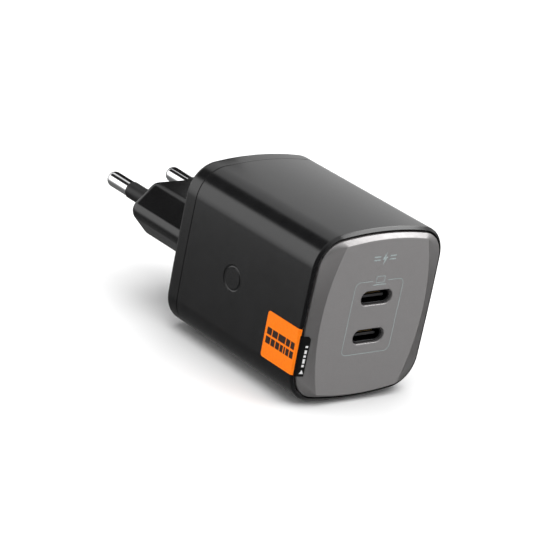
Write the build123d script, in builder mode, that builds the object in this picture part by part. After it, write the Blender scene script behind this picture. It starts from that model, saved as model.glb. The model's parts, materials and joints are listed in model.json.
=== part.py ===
from build123d import *

import os

os.makedirs("parts", exist_ok=True)

# Two-port USB wall charger with a fixed two-pin plug, built as separate pieces.
# Sizes are in millimetres. X is the width, +Y points at the wall and +Z is up. The origin is
# the centre of the plug's end face, between the pins. A "depth" is the distance from that face
# towards the front, so a section at depth d lies on the plane y = -d.

# Body outline: a rounded rectangle whose four sides bulge outwards.
body_width = 40.0
body_height = 43.0
body_length = 50.0  # rear face to flat front
side_crown = 0.35
top_crown = 2.2
corner_radius = 8.0
wall = 1.8

# Rear cover: cap ring, floor, locating lip and hexagonal plug block.
plug_depth = 22.0
plug_width = 35.3
plug_height = 13.7
plug_nose = 2.5  # flat left at each side of the hexagon
plug_edge_radius = 2.8
plug_end_radius = 2.6
plug_wall = 1.8
plug_end_wall = 4.0
cap_depth = 4.4
cap_floor = 2.0
rear_edge_radius = 1.5
seam_chamfer = 0.15
lip_length = 3.0
lip_wall = 1.2
slip = 0.1  # gap between pieces that slide together

# Plug pins and their insulating sleeves.
pin_spacing = 18.6
pin_length = 19.0
pin_diameter = 4.0
pin_tip_radius = 1.9
shank_diameter = 3.2
shank_depth = 8.0
sleeve_diameter = 4.4
sleeve_length = 10.0
sleeve_seat = 2.0
sleeve_edge = 0.2

# Front rim of the shell and the panel set into it.
rim_setback = 1.6  # rim behind the flat front
rim_radius = 0.65
panel_inset = 1.2
panel_groove = 0.5
panel_land = 1.9  # length of the rebate that holds the panel
panel_bevel = 1.3  # how far the flat front stands ahead of the panel's edge
panel_wall = 1.8
skirt_length = 3.0
skirt_wall = 1.2
bevel_side = 2.95
bevel_top = 0.85
flat_side_bulge = 3.3
flat_top_bulge = 1.0
flat_corner_radius = 1.0

# Shallow round mark pressed into the left side.
mark_depth = 44.4
mark_radius = 3.3
mark_line = 0.8
mark_sink = 0.25

# Label on the left side, with a dark tab that wraps over the front edge.
label_length = 10.9
label_height = 11.4
label_centre = -7.5
label_corner = 0.7
label_thickness = 0.1
tab_height = 10.0
tab_centre = -8.4
tab_reach = 2.8
tab_gap = 0.08

# USB-C ports, one above the other.
port_pitch = 9.7
opening_width = 9.4
opening_height = 3.5
opening_chamfer = 0.25
receptacle_width = 8.94
receptacle_height = 3.26
receptacle_wall = 0.3
receptacle_length = 9.5
port_recess = 0.8
solder_tab_width = 1.4
solder_tab_spread = 5.4
solder_tab_length = 1.6
tongue_width = 6.69
tongue_thickness = 0.7
tongue_recess = 0.7
tongue_base = 1.5
contact_pitch = 0.5
contact_width = 0.28
contact_height = 0.1
contact_length = 4.5
contact_count = 12

# Heat spreader and insulation that line the shell.
lining_gap = 0.15
spreader_thickness = 0.5
spreader_lip_gap = 0.6  # behind the cover's lip
spreader_board_gap = 2.5  # behind the output board
spreader_slot = 3.0
insulation_gap = 0.05
insulation_thickness = 0.25
insulation_slot = 2.0

# Circuit boards.
board_thickness = 1.2
board_gap = 0.2
main_board_inset = 4.3  # from the body's sides
main_board_top = -12.3
main_board_setback = 0.1  # from the seam
output_board_inset = 2.4
upper_board_thickness = 1.0
upper_board_top = 6.9
upper_board_setback = 1.0  # from the main board's rear end
upper_board_clearance = 6.3  # from the main board's front end
control_board_thickness = 0.8
control_board_x = 11.8
control_board_length = 20.0
control_board_clearance = 3.3  # from the main board's front end
wire_clearance = 0.15

# Transformer: two core halves round one bobbin.
core_x = -2.0
core_clearance = 13.3  # from the core's middle to the main board's front end
core_width = 19.0
core_length = 18.0
core_height = 16.0
core_plate = 2.6
core_leg = 2.0
core_post = 8.0
core_standoff = 1.0
bobbin_gap = 0.1
bobbin_tube = 0.6
bobbin_flange = 0.7
bobbin_flange_diameter = 14.6
rail_width = 14.0
rail_length = 2.4
winding_diameter = 13.6
tape_thickness = 0.3
terminal_diameter = 0.7
terminal_pitch = 3.6
terminal_count = 4

# Mains input parts. A setback is measured from the main board's rear end.
contact_strip_width = 3.0
contact_strip = 0.4
contact_start = 5.5
contact_leg_setback = 0.8
contact_bend = 1.2
choke_x = -8.5
choke_setback = 4.7
choke_outer = 5.0
choke_inner = 2.6
choke_thickness = 4.5
choke_coil = 0.9
choke_coil_angle = 130.0
choke_base_width = 10.0
choke_base_height = 0.8
x_capacitor_size = (13.0, 5.6, 11.0)
x_capacitor_x = 6.0
x_capacitor_setback = 4.5
x_capacitor_edge = 0.4
edge_part_inset = 1.1  # from the main board's long edges
fuse_diameter = 3.4
fuse_length = 9.5
fuse_cap = 2.0
fuse_cap_wall = 0.2
fuse_setback = 6.8
fuse_lift = 0.3
disc_diameter = 7.0
disc_edge = 0.8
disc_lift = 0.8
varistor_thickness = 3.0
varistor_setback = 17.0
y_capacitor_thickness = 2.6

# Bulk and output capacitors.
bulk_diameter = 9.5
bulk_length = 22.0
bulk_setback = 1.0  # from the upper board's rear end
bulk_spacing = 10.3
bulk_lift = 0.35
bulk_groove = 0.35
can_edge = 0.5
bung_thickness = 0.8
bung_diameter = 7.6
lead_spacing = 5.0
lead_diameter = 0.6
lead_bend = 0.7
lead_run = 1.3
output_capacitor_diameter = 6.3
output_capacitor_length = 6.3
output_capacitor_x = 9.5
output_capacitor_z = 12.2

# Flat packages: length, width and height of each chip. A clearance is measured from the chip's
# middle to the main board's front end.
bridge_size = (8.5, 6.5, 1.5)
bridge_x = -8.0
bridge_setback = 6.5
bridge_edge = 0.2
power_switch_size = (8.0, 8.0, 0.9)
power_switch_x = 4.0
power_switch_clearance = 18.3
thermal_pad_gap = 0.55  # from the lining, which curves up towards the sides
coupler_size = (4.6, 6.5, 2.2)
coupler_x = -9.0
coupler_clearance = 8.8
controller_size = (5.0, 4.0, 1.5)
controller_setback = 5.0  # from the control board's rear end
controller_z = -4.0
sync_switch_size = (6.0, 5.0, 1.0)
sync_switch_z = 0.0
port_chip_size = (5.0, 5.0, 0.9)
port_chip_x = 7.0
port_chip_z = -5.5
small_part_size = (1.6, 0.8, 0.5)
small_part_pitch = (2.6, 2.2)
small_part_rows = 7
small_part_x = 10.5
under_part_pitch = (2.6, 1.8)
under_part_x = 9.0
under_part_clearance = 7.3
link_pin_size = 0.5
link_pin_pitch = 2.0
link_pin_count = 8
link_pin_inset = 1.4
link_pin_rise = 1.7
link_pin_tail = 0.8

# Places that follow from the sizes above.
seam = plug_depth + cap_depth
front = plug_depth + body_length
rim = front - rim_setback
panel_seat = rim - panel_land
bevel_start = front - panel_bevel
lip_inset = wall + slip
spreader_inset = wall + lining_gap
insulation_inset = spreader_inset + spreader_thickness + insulation_gap
port_front = front - port_recess
output_board_front = port_front - receptacle_length
output_board_back = output_board_front - board_thickness
spreader_start = seam + lip_length + spreader_lip_gap
spreader_end = output_board_back - spreader_board_gap
main_board_width = body_width - 2 * main_board_inset
main_board_start = seam + main_board_setback
main_board_end = output_board_back - board_gap
main_board_bottom = main_board_top - board_thickness
upper_board_start = main_board_start + upper_board_setback
upper_board_end = main_board_end - upper_board_clearance
control_board_start = main_board_end - control_board_clearance - control_board_length
core_depth = main_board_end - core_clearance
core_bottom = main_board_top + core_standoff
core_middle = core_bottom + core_height / 2
core_top = core_bottom + core_height
contact_z = shank_diameter / 2 + contact_strip / 2
contact_leg_depth = main_board_start + contact_leg_setback
choke_depth = main_board_start + choke_setback
choke_z = main_board_top + choke_base_height + choke_coil + choke_outer
edge_part_x = main_board_width / 2 - edge_part_inset
disc_z = main_board_top + disc_lift + disc_diameter / 2
bulk_start = upper_board_start + bulk_setback
bulk_z = upper_board_top + bulk_lift + bulk_diameter / 2
flat_corner_x = body_width / 2 - panel_inset - bevel_side - flat_side_bulge
flat_corner_z = body_height / 2 - panel_inset - bevel_top - flat_top_bulge


def across(depth):
    """Plane square to the charger's length; its normal points at the front."""
    return Plane.XZ.offset(depth)


def bulged_outline(corner_x, corner_z, side_bulge, top_bulge, radius):
    """Four outward arcs between the corners of a rectangle, with rounded corners."""
    with BuildSketch() as outline:
        with BuildLine():
            ThreePointArc((-corner_x, corner_z), (0, corner_z + top_bulge), (corner_x, corner_z))
            ThreePointArc((corner_x, corner_z), (corner_x + side_bulge, 0), (corner_x, -corner_z))
            ThreePointArc((corner_x, -corner_z), (0, -corner_z - top_bulge), (-corner_x, -corner_z))
            ThreePointArc((-corner_x, -corner_z), (-corner_x - side_bulge, 0), (-corner_x, corner_z))
        make_face()
        fillet(outline.vertices(), radius=radius)
    return outline.sketch


def arc_radius(half_chord, bulge):
    """Radius of the arc that rises by bulge over a chord."""
    return (half_chord**2 + bulge**2) / (2 * bulge)


def body_outline(inset):
    """The body's outline, moved in all round by inset, with every arc about its own centre."""
    side_radius = arc_radius(body_height / 2 - top_crown, side_crown)
    top_radius = arc_radius(body_width / 2 - side_crown, top_crown)
    between_centres = Vector(body_width / 2 - side_radius, top_radius - body_height / 2)
    toward = between_centres.normalized()
    span = between_centres.length
    along = (span**2 + (top_radius - inset) ** 2 - (side_radius - inset) ** 2) / (2 * span)
    beside = ((top_radius - inset) ** 2 - along**2) ** 0.5
    corner_x = toward.X * along + toward.Y * beside
    corner_z = toward.Y * along - toward.X * beside + body_height / 2 - top_radius
    side_bulge = body_width / 2 - inset - corner_x
    top_bulge = body_height / 2 - inset - corner_z
    return bulged_outline(corner_x, corner_z, side_bulge, top_bulge, corner_radius - inset)


def plug_outline(inset):
    """Flattened hexagon of the plug block with 45 degree flanks, moved in by inset."""
    half_width = plug_width / 2 - inset
    half_height = plug_height / 2 - inset
    half_nose = plug_nose / 2 - inset * (2**0.5 - 1)
    corner_x = half_width - half_height + half_nose
    with BuildSketch() as outline:
        with BuildLine():
            Polyline(
                (corner_x, half_height),
                (half_width, half_nose),
                (half_width, -half_nose),
                (corner_x, -half_height),
                (-corner_x, -half_height),
                (-half_width, -half_nose),
                (-half_width, half_nose),
                (-corner_x, half_height),
                close=True,
            )
        make_face()
        fillet(outline.vertices(), radius=plug_edge_radius - inset)
    return outline.sketch


outer_outline = body_outline(0)
inner_outline = body_outline(wall)
flat_outline = bulged_outline(
    flat_corner_x, flat_corner_z, flat_side_bulge, flat_top_bulge, flat_corner_radius
)
pin_places = ((-pin_spacing / 2, 0), (pin_spacing / 2, 0))
port_places = ((0, port_pitch / 2), (0, -port_pitch / 2))

# ---------------------------------------------------------------- outer pieces

# Tubular shell: open at both ends, with a rebate at the front for the panel.
with BuildPart() as main_shell:
    with BuildSketch(across(seam)):
        add(outer_outline)
    extrude(amount=rim - seam)
    front_edges = main_shell.faces().sort_by(Axis.Y)[0].edges()
    fillet(front_edges, radius=rim_radius)
    seam_edges = main_shell.faces().sort_by(Axis.Y)[-1].edges()
    chamfer(seam_edges, length=seam_chamfer)
    with BuildSketch(across(seam)):
        add(inner_outline)
    extrude(amount=rim - seam, mode=Mode.SUBTRACT)
    with BuildSketch(across(panel_seat)):
        add(body_outline(panel_inset - panel_groove))
    extrude(amount=panel_land, mode=Mode.SUBTRACT)
    with BuildSketch(Plane.YZ.offset(-body_width / 2)):
        with Locations((-mark_depth, 0)):
            Circle(mark_radius)
            Circle(mark_radius - mark_line, mode=Mode.SUBTRACT)
    extrude(amount=mark_sink, mode=Mode.SUBTRACT)
main_shell.part.label = "main_shell"
export_step(main_shell.part, "parts/main_shell.step")

# Rear cover: cap ring with its lip, and the plug block that stands out of it.
with BuildPart() as rear_cover:
    with BuildSketch(across(plug_depth)):
        add(outer_outline)
    extrude(amount=cap_depth)
    fillet(rear_cover.faces().sort_by(Axis.Y)[-1].edges(), radius=rear_edge_radius)
    chamfer(rear_cover.faces().sort_by(Axis.Y)[0].edges(), length=seam_chamfer)
    with BuildSketch(across(0)):
        add(plug_outline(0))
    extrude(amount=plug_depth)
    fillet(rear_cover.faces().sort_by(Axis.Y)[-1].edges(), radius=plug_end_radius)
    with BuildSketch(across(seam)):
        add(body_outline(lip_inset))
    extrude(amount=lip_length)
    with BuildSketch(across(plug_depth + cap_floor)):
        add(body_outline(lip_inset + lip_wall))
    extrude(amount=cap_depth - cap_floor + lip_length, mode=Mode.SUBTRACT)
    with BuildSketch(across(plug_end_wall)):
        add(plug_outline(plug_wall))
    extrude(amount=plug_depth + cap_floor - plug_end_wall, mode=Mode.SUBTRACT)
    with BuildSketch(across(0)):
        with Locations(*pin_places):
            Circle(sleeve_diameter / 2)
    extrude(amount=sleeve_seat, mode=Mode.SUBTRACT)
    with BuildSketch(across(sleeve_seat)):
        with Locations(*pin_places):
            Circle(shank_diameter / 2)
    extrude(amount=plug_end_wall - sleeve_seat, mode=Mode.SUBTRACT)
rear_cover.part.label = "rear_cover"
export_step(rear_cover.part, "parts/rear_cover.step")

# Front panel: bevelled face with two port openings, and a skirt that plugs into the shell.
with BuildPart() as front_panel:
    with BuildSketch(across(bevel_start)):
        add(body_outline(panel_inset))
    with BuildSketch(across(front)):
        add(flat_outline)
    loft(ruled=True)
    with BuildSketch(across(panel_seat)):
        add(body_outline(panel_inset))
    extrude(amount=bevel_start - panel_seat)
    with BuildSketch(across(panel_seat - skirt_length)):
        add(body_outline(lip_inset))
    extrude(amount=skirt_length)
    with BuildSketch(across(panel_seat - skirt_length)):
        add(body_outline(lip_inset + skirt_wall))
    extrude(amount=skirt_length + front - panel_seat - panel_wall, mode=Mode.SUBTRACT)
    with BuildSketch(across(front - panel_wall)):
        with Locations(*port_places):
            SlotOverall(opening_width, opening_height)
    extrude(amount=panel_wall, mode=Mode.SUBTRACT)
    mouth_edges = front_panel.faces().sort_by(Axis.Y)[0].inner_wires().edges()
    chamfer(mouth_edges, length=opening_chamfer)
front_panel.part.label = "front_panel"
export_step(front_panel.part, "parts/front_panel.step")

for side, x in (("left", -pin_spacing / 2), ("right", pin_spacing / 2)):
    # Brass pin: full-diameter contact length, then a thinner shank under the sleeve.
    with BuildPart() as plug_pin:
        with BuildSketch(across(-pin_length)):
            with Locations((x, 0)):
                Circle(pin_diameter / 2)
        extrude(amount=pin_length - sleeve_length)
        fillet(plug_pin.faces().sort_by(Axis.Y)[-1].edges(), radius=pin_tip_radius)
        with BuildSketch(across(-sleeve_length)):
            with Locations((x, 0)):
                Circle(shank_diameter / 2)
        extrude(amount=sleeve_length + shank_depth)
    plug_pin.part.label = "plug_pin_" + side
    export_step(plug_pin.part, "parts/plug_pin_" + side + ".step")

    # Insulating sleeve moulded round the pin's shank and seated in the plug block.
    with BuildPart() as pin_sleeve:
        with BuildSketch(across(-sleeve_length)):
            with Locations((x, 0)):
                Circle(sleeve_diameter / 2)
        extrude(amount=sleeve_length + sleeve_seat)
        fillet(pin_sleeve.faces().sort_by(Axis.Y)[-1].edges(), radius=sleeve_edge)
        with BuildSketch(across(-sleeve_length)):
            with Locations((x, 0)):
                Circle(shank_diameter / 2)
        extrude(amount=sleeve_length + sleeve_seat, mode=Mode.SUBTRACT)
    pin_sleeve.part.label = "pin_sleeve_" + side
    export_step(pin_sleeve.part, "parts/pin_sleeve_" + side + ".step")

    # Contact strip from the pin's shank to the main board.
    with BuildPart() as mains_contact:
        with BuildSketch(Plane.YZ.offset(x)):
            with BuildLine():
                FilletPolyline(
                    (-contact_start, contact_z),
                    (-contact_leg_depth, contact_z),
                    (-contact_leg_depth, main_board_bottom - lead_run),
                    radius=contact_bend,
                )
            trace(line_width=contact_strip)
        extrude(amount=contact_strip_width / 2, both=True)
    mains_contact.part.label = "mains_contact_" + side
    export_step(mains_contact.part, "parts/mains_contact_" + side + ".step")

# Label: a thin sheet that follows the crowned left side up to the front rim.
with BuildPart() as side_label:
    label_start = rim - rim_radius - label_length
    with BuildSketch(across(label_start)):
        add(body_outline(-label_thickness))
        add(outer_outline, mode=Mode.SUBTRACT)
    extrude(amount=label_length)
    with BuildSketch(Plane.YZ.offset(-body_width)) as label_face:
        with Locations((-label_start - label_length / 2, label_centre)):
            Rectangle(label_length, label_height)
        fillet(label_face.vertices().group_by(Axis.Y)[-1], radius=label_corner)
    extrude(amount=body_width / 2 + side_crown + label_thickness, mode=Mode.INTERSECT)
side_label.part.label = "side_label"
export_step(side_label.part, "parts/side_label.step")


def tab_section(z):
    """Thin strip across the label's tab at height z: side, rim, groove and bevel."""
    side_x = -body_width / 2 + side_crown * (2 * z / body_height) ** 2 - tab_gap
    edge_x = side_x + panel_inset
    flat_x = -flat_corner_x - flat_side_bulge * (1 - (z / flat_corner_z) ** 2)
    end_x = side_x + tab_reach
    end_share = min(1, (end_x - edge_x) / (flat_x - edge_x))
    end_y = -bevel_start - end_share * panel_bevel
    start_y = -rim + rim_radius
    inner = [
        (side_x, start_y),
        (side_x, -rim + rim_radius / 3),
        (side_x + rim_radius / 2, -rim - tab_gap),
        (edge_x, -bevel_start - tab_gap),
        (edge_x + end_share * (flat_x - edge_x), end_y - tab_gap),
    ]
    outer = [
        (side_x - label_thickness, start_y),
        (side_x - label_thickness, -rim + rim_radius / 3),
        (side_x + rim_radius / 2 - label_thickness, -rim - tab_gap - label_thickness),
        (edge_x - label_thickness / 2, -bevel_start - tab_gap - label_thickness),
        (edge_x + end_share * (flat_x - edge_x), end_y - tab_gap - label_thickness),
    ]
    return inner + outer[::-1]


# Dark tab of the label, folded over the shell's rim on to the panel's bevel.
with BuildPart() as label_tab:
    for z in (tab_centre - tab_height / 2, tab_centre + tab_height / 2):
        with BuildSketch(Plane.XY.offset(z)):
            with BuildLine():
                Polyline(*tab_section(z), close=True)
            make_face()
    loft(ruled=True)
label_tab.part.label = "label_tab"
export_step(label_tab.part, "parts/label_tab.step")

# ---------------------------------------------------------------- USB-C ports

for place, port_z in (("upper", port_pitch / 2), ("lower", -port_pitch / 2)):
    # Drawn steel shell of the receptacle, with four tabs soldered through the output board.
    with BuildPart() as usb_receptacle:
        with BuildSketch(across(output_board_front)):
            with Locations((0, port_z)):
                SlotOverall(receptacle_width, receptacle_height)
                SlotOverall(
                    receptacle_width - 2 * receptacle_wall,
                    receptacle_height - 2 * receptacle_wall,
                    mode=Mode.SUBTRACT,
                )
        extrude(amount=receptacle_length)
        with BuildSketch(across(output_board_front - solder_tab_length)):
            with Locations((0, port_z)):
                with GridLocations(solder_tab_spread, receptacle_height - receptacle_wall, 2, 2):
                    Rectangle(solder_tab_width, receptacle_wall)
        extrude(amount=solder_tab_length)
    usb_receptacle.part.label = "usb_receptacle_" + place
    export_step(usb_receptacle.part, "parts/usb_receptacle_" + place + ".step")

    # Moulded base that closes the back of the receptacle, with the contact tongue.
    with BuildPart() as usb_tongue:
        with BuildSketch(across(output_board_front)):
            with Locations((0, port_z)):
                SlotOverall(
                    receptacle_width - 2 * receptacle_wall, receptacle_height - 2 * receptacle_wall
                )
        extrude(amount=tongue_base)
        with BuildSketch(across(output_board_front + tongue_base)):
            with Locations((0, port_z)):
                Rectangle(tongue_width, tongue_thickness)
        extrude(amount=receptacle_length - tongue_base - tongue_recess)
        tip_edges = usb_tongue.faces().sort_by(Axis.Y)[0].edges().filter_by(Axis.X)
        chamfer(tip_edges, length=tongue_thickness / 4)
    usb_tongue.part.label = "usb_tongue_" + place
    export_step(usb_tongue.part, "parts/usb_tongue_" + place + ".step")

    # Two rows of gold contacts on the tongue.
    with BuildPart() as usb_contacts:
        with BuildSketch(across(port_front - tongue_recess - tongue_thickness - contact_length)):
            with Locations((0, port_z)):
                with GridLocations(
                    contact_pitch, tongue_thickness + contact_height, contact_count, 2
                ):
                    Rectangle(contact_width, contact_height)
        extrude(amount=contact_length)
    usb_contacts.part.label = "usb_contacts_" + place
    export_step(usb_contacts.part, "parts/usb_contacts_" + place + ".step")

# ---------------------------------------------------------------- linings

# Folded heat spreader inside the shell, open along the bottom.
with BuildPart() as heat_spreader:
    with BuildSketch(across(spreader_start)):
        add(body_outline(spreader_inset))
        add(body_outline(spreader_inset + spreader_thickness), mode=Mode.SUBTRACT)
        with Locations((0, -body_height / 2)):
            Rectangle(spreader_slot, body_height / 2, mode=Mode.SUBTRACT)
    extrude(amount=spreader_end - spreader_start)
heat_spreader.part.label = "heat_spreader"
export_step(heat_spreader.part, "parts/heat_spreader.step")

# Insulation sheet between the heat spreader and the live parts, open along the top.
with BuildPart() as insulation_sheet:
    with BuildSketch(across(spreader_start)):
        add(body_outline(insulation_inset))
        add(body_outline(insulation_inset + insulation_thickness), mode=Mode.SUBTRACT)
        with Locations((0, body_height / 2)):
            Rectangle(insulation_slot, body_height / 2, mode=Mode.SUBTRACT)
    extrude(amount=spreader_end - spreader_start)
insulation_sheet.part.label = "insulation_sheet"
export_step(insulation_sheet.part, "parts/insulation_sheet.step")

# ---------------------------------------------------------------- circuit boards

link_pin_depth = main_board_end - link_pin_inset
link_pin_z = main_board_top + link_pin_rise
terminal_depths = (
    core_depth - core_length / 2 - bobbin_gap - rail_length / 2,
    core_depth + core_length / 2 + bobbin_gap + rail_length / 2,
)

# Main board, under the transformer and the mains filter.
with BuildPart() as main_board:
    with BuildSketch(Plane.XY.offset(main_board_bottom)):
        with Locations((0, -(main_board_start + main_board_end) / 2)):
            Rectangle(main_board_width, main_board_end - main_board_start)
        with Locations((-pin_spacing / 2, -contact_leg_depth), (pin_spacing / 2, -contact_leg_depth)):
            Rectangle(
                contact_strip_width + 2 * wire_clearance,
                contact_strip + 2 * wire_clearance,
                mode=Mode.SUBTRACT,
            )
        with Locations((0, -link_pin_depth)):
            with GridLocations(link_pin_pitch, link_pin_pitch, link_pin_count, 1):
                Circle(link_pin_size / 2**0.5 + wire_clearance, mode=Mode.SUBTRACT)
        for depth in terminal_depths:
            with Locations((core_x, -depth)):
                with GridLocations(terminal_pitch, terminal_pitch, terminal_count, 1):
                    Circle(terminal_diameter / 2 + wire_clearance, mode=Mode.SUBTRACT)
    extrude(amount=board_thickness)
main_board.part.label = "main_board"
export_step(main_board.part, "parts/main_board.step")

# Output board, upright behind the front panel; it carries the two receptacles.
with BuildPart() as output_board:
    with BuildSketch(across(output_board_back)):
        add(body_outline(output_board_inset))
        for port_place in port_places:
            with Locations(port_place):
                with GridLocations(solder_tab_spread, receptacle_height - receptacle_wall, 2, 2):
                    Rectangle(
                        solder_tab_width + 2 * wire_clearance,
                        receptacle_wall + 2 * wire_clearance,
                        mode=Mode.SUBTRACT,
                    )
        with Locations((0, link_pin_z)):
            with GridLocations(link_pin_pitch, link_pin_pitch, link_pin_count, 1):
                Circle(link_pin_size / 2**0.5 + wire_clearance, mode=Mode.SUBTRACT)
    extrude(amount=board_thickness)
output_board.part.label = "output_board"
export_step(output_board.part, "parts/output_board.step")

bulk_places = ((-bulk_spacing, bulk_z), (0, bulk_z), (bulk_spacing, bulk_z))
lead_depth = bulk_start + bulk_length + bung_thickness + lead_run

# Upper board, which carries the bulk capacitors above the transformer.
with BuildPart() as upper_board:
    with BuildSketch(Plane.XY.offset(upper_board_top - upper_board_thickness)):
        with Locations((0, -(upper_board_start + upper_board_end) / 2)):
            Rectangle(main_board_width, upper_board_end - upper_board_start)
        for bulk_x, _ in bulk_places:
            with Locations((bulk_x, -lead_depth)):
                with GridLocations(lead_spacing, lead_spacing, 2, 1):
                    Circle(lead_diameter / 2**0.5 + wire_clearance, mode=Mode.SUBTRACT)
    extrude(amount=upper_board_thickness)
upper_board.part.label = "upper_board"
export_step(upper_board.part, "parts/upper_board.step")

# Control board, upright beside the transformer between the main and the upper board.
with BuildPart() as control_board:
    control_height = upper_board_top - upper_board_thickness - main_board_top
    with BuildSketch(Plane.YZ.offset(control_board_x)):
        with Locations(
            (-control_board_start - control_board_length / 2, main_board_top + control_height / 2)
        ):
            Rectangle(control_board_length, control_height)
    extrude(amount=control_board_thickness / 2, both=True)
control_board.part.label = "control_board"
export_step(control_board.part, "parts/control_board.step")

# Right-angle pins that join the main board to the output board.
with BuildPart() as board_link_pins:
    for index in range(link_pin_count):
        pin_x = (index - (link_pin_count - 1) / 2) * link_pin_pitch
        with BuildSketch(Plane.YZ.offset(pin_x)):
            with BuildLine():
                FilletPolyline(
                    (-link_pin_depth, main_board_bottom - link_pin_tail),
                    (-link_pin_depth, link_pin_z),
                    (-output_board_front - link_pin_tail, link_pin_z),
                    radius=link_pin_size,
                )
            trace(line_width=link_pin_size)
        extrude(amount=link_pin_size / 2, both=True)
board_link_pins.part.label = "board_link_pins"
export_step(board_link_pins.part, "parts/board_link_pins.step")

# ---------------------------------------------------------------- transformer

winding_bottom = core_bottom + core_plate + bobbin_gap + bobbin_flange
winding_top = core_top - core_plate - bobbin_gap - bobbin_flange

for place, plate_z, wall_z in (
    ("lower", core_bottom, core_bottom + core_plate),
    ("upper", core_top - core_plate, core_middle),
):
    # Ferrite core half: a plate with two side legs and a round centre post.
    with BuildPart() as transformer_core:
        with BuildSketch(Plane.XY.offset(plate_z)):
            with Locations((core_x, -core_depth)):
                Rectangle(core_width, core_length)
        extrude(amount=core_plate)
        with BuildSketch(Plane.XY.offset(wall_z)):
            with Locations((core_x, -core_depth)):
                with GridLocations(core_width - core_leg, core_leg, 2, 1):
                    Rectangle(core_leg, core_length)
                Circle(core_post / 2)
        extrude(amount=core_height / 2 - core_plate)
    transformer_core.part.label = "transformer_core_" + place
    export_step(transformer_core.part, "parts/transformer_core_" + place + ".step")

# Bobbin: tube, two flanges and the two terminal rails that stand on the main board.
with BuildPart() as transformer_bobbin:
    tube_radius = core_post / 2 + bobbin_gap + bobbin_tube
    with BuildSketch(Plane.XY.offset(winding_bottom - bobbin_flange)):
        with Locations((core_x, -core_depth)):
            Rectangle(rail_width, core_length + 2 * (bobbin_gap + rail_length))
            Circle(bobbin_flange_diameter / 2)
    extrude(amount=bobbin_flange)
    with BuildSketch(Plane.XY.offset(winding_bottom)):
        with Locations((core_x, -core_depth)):
            Circle(tube_radius)
    extrude(amount=winding_top - winding_bottom)
    with BuildSketch(Plane.XY.offset(winding_top)):
        with Locations((core_x, -core_depth)):
            Circle(bobbin_flange_diameter / 2)
    extrude(amount=bobbin_flange)
    with BuildSketch(Plane.XY.offset(main_board_top)):
        for depth in terminal_depths:
            with Locations((core_x, -depth)):
                Rectangle(rail_width, rail_length)
    extrude(amount=winding_bottom - main_board_top)
    with BuildSketch(Plane.XY.offset(core_bottom)):
        with Locations((core_x, -core_depth)):
            Circle(core_post / 2 + bobbin_gap)
    extrude(amount=core_height, mode=Mode.SUBTRACT)
    with BuildSketch(Plane.XY.offset(main_board_top)):
        for depth in terminal_depths:
            with Locations((core_x, -depth)):
                with GridLocations(terminal_pitch, terminal_pitch, terminal_count, 1):
                    Circle(terminal_diameter / 2)
    extrude(amount=core_standoff, mode=Mode.SUBTRACT)
transformer_bobbin.part.label = "transformer_bobbin"
export_step(transformer_bobbin.part, "parts/transformer_bobbin.step")

# Copper windings on the bobbin's tube.
with BuildPart() as transformer_winding:
    with BuildSketch(Plane.XY.offset(winding_bottom)):
        with Locations((core_x, -core_depth)):
            Circle(winding_diameter / 2)
            Circle(tube_radius, mode=Mode.SUBTRACT)
    extrude(amount=winding_top - winding_bottom)
transformer_winding.part.label = "transformer_winding"
export_step(transformer_winding.part, "parts/transformer_winding.step")

# Insulating tape round the windings.
with BuildPart() as transformer_tape:
    with BuildSketch(Plane.XY.offset(winding_bottom)):
        with Locations((core_x, -core_depth)):
            Circle(winding_diameter / 2 + tape_thickness)
            Circle(winding_diameter / 2, mode=Mode.SUBTRACT)
    extrude(amount=winding_top - winding_bottom)
transformer_tape.part.label = "transformer_tape"
export_step(transformer_tape.part, "parts/transformer_tape.step")

# Terminal pins of the bobbin, through the main board.
with BuildPart() as transformer_pins:
    with BuildSketch(Plane.XY.offset(main_board_bottom - link_pin_tail)):
        for depth in terminal_depths:
            with Locations((core_x, -depth)):
                with GridLocations(terminal_pitch, terminal_pitch, terminal_count, 1):
                    Circle(terminal_diameter / 2)
    extrude(amount=link_pin_tail + board_thickness + core_standoff)
transformer_pins.part.label = "transformer_pins"
export_step(transformer_pins.part, "parts/transformer_pins.step")

# ---------------------------------------------------------------- mains filter

# Ferrite ring of the common-mode choke.
with BuildPart() as choke_core:
    with BuildSketch(across(choke_depth - choke_thickness / 2)):
        with Locations((choke_x, choke_z)):
            Circle(choke_outer)
            Circle(choke_inner, mode=Mode.SUBTRACT)
    extrude(amount=choke_thickness)
choke_core.part.label = "choke_core"
export_step(choke_core.part, "parts/choke_core.step")

# Two copper windings on the ring, one on each side.
choke_axis = Axis((choke_x, -choke_depth, choke_z), (0, 1, 0))
with BuildPart() as choke_windings:
    for start_angle in (-choke_coil_angle / 2, 180 - choke_coil_angle / 2):
        section_plane = Plane(
            origin=(choke_x, -choke_depth, choke_z), x_dir=(1, 0, 0), z_dir=(0, 0, 1)
        ).rotated((0, start_angle, 0))
        with BuildSketch(section_plane):
            with Locations(((choke_outer + choke_inner) / 2, 0)):
                ring_width = choke_outer - choke_inner
                Rectangle(ring_width + 2 * choke_coil, choke_thickness + 2 * choke_coil)
                Rectangle(ring_width, choke_thickness, mode=Mode.SUBTRACT)
        revolve(axis=choke_axis, revolution_arc=choke_coil_angle)
choke_windings.part.label = "choke_windings"
export_step(choke_windings.part, "parts/choke_windings.step")

# Plastic base under the choke.
with BuildPart() as choke_base:
    with BuildSketch(Plane.XY.offset(main_board_top)):
        with Locations((choke_x, -choke_depth)):
            Rectangle(choke_base_width, choke_thickness + 2 * choke_coil)
    extrude(amount=choke_base_height)
choke_base.part.label = "choke_base"
export_step(choke_base.part, "parts/choke_base.step")

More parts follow.
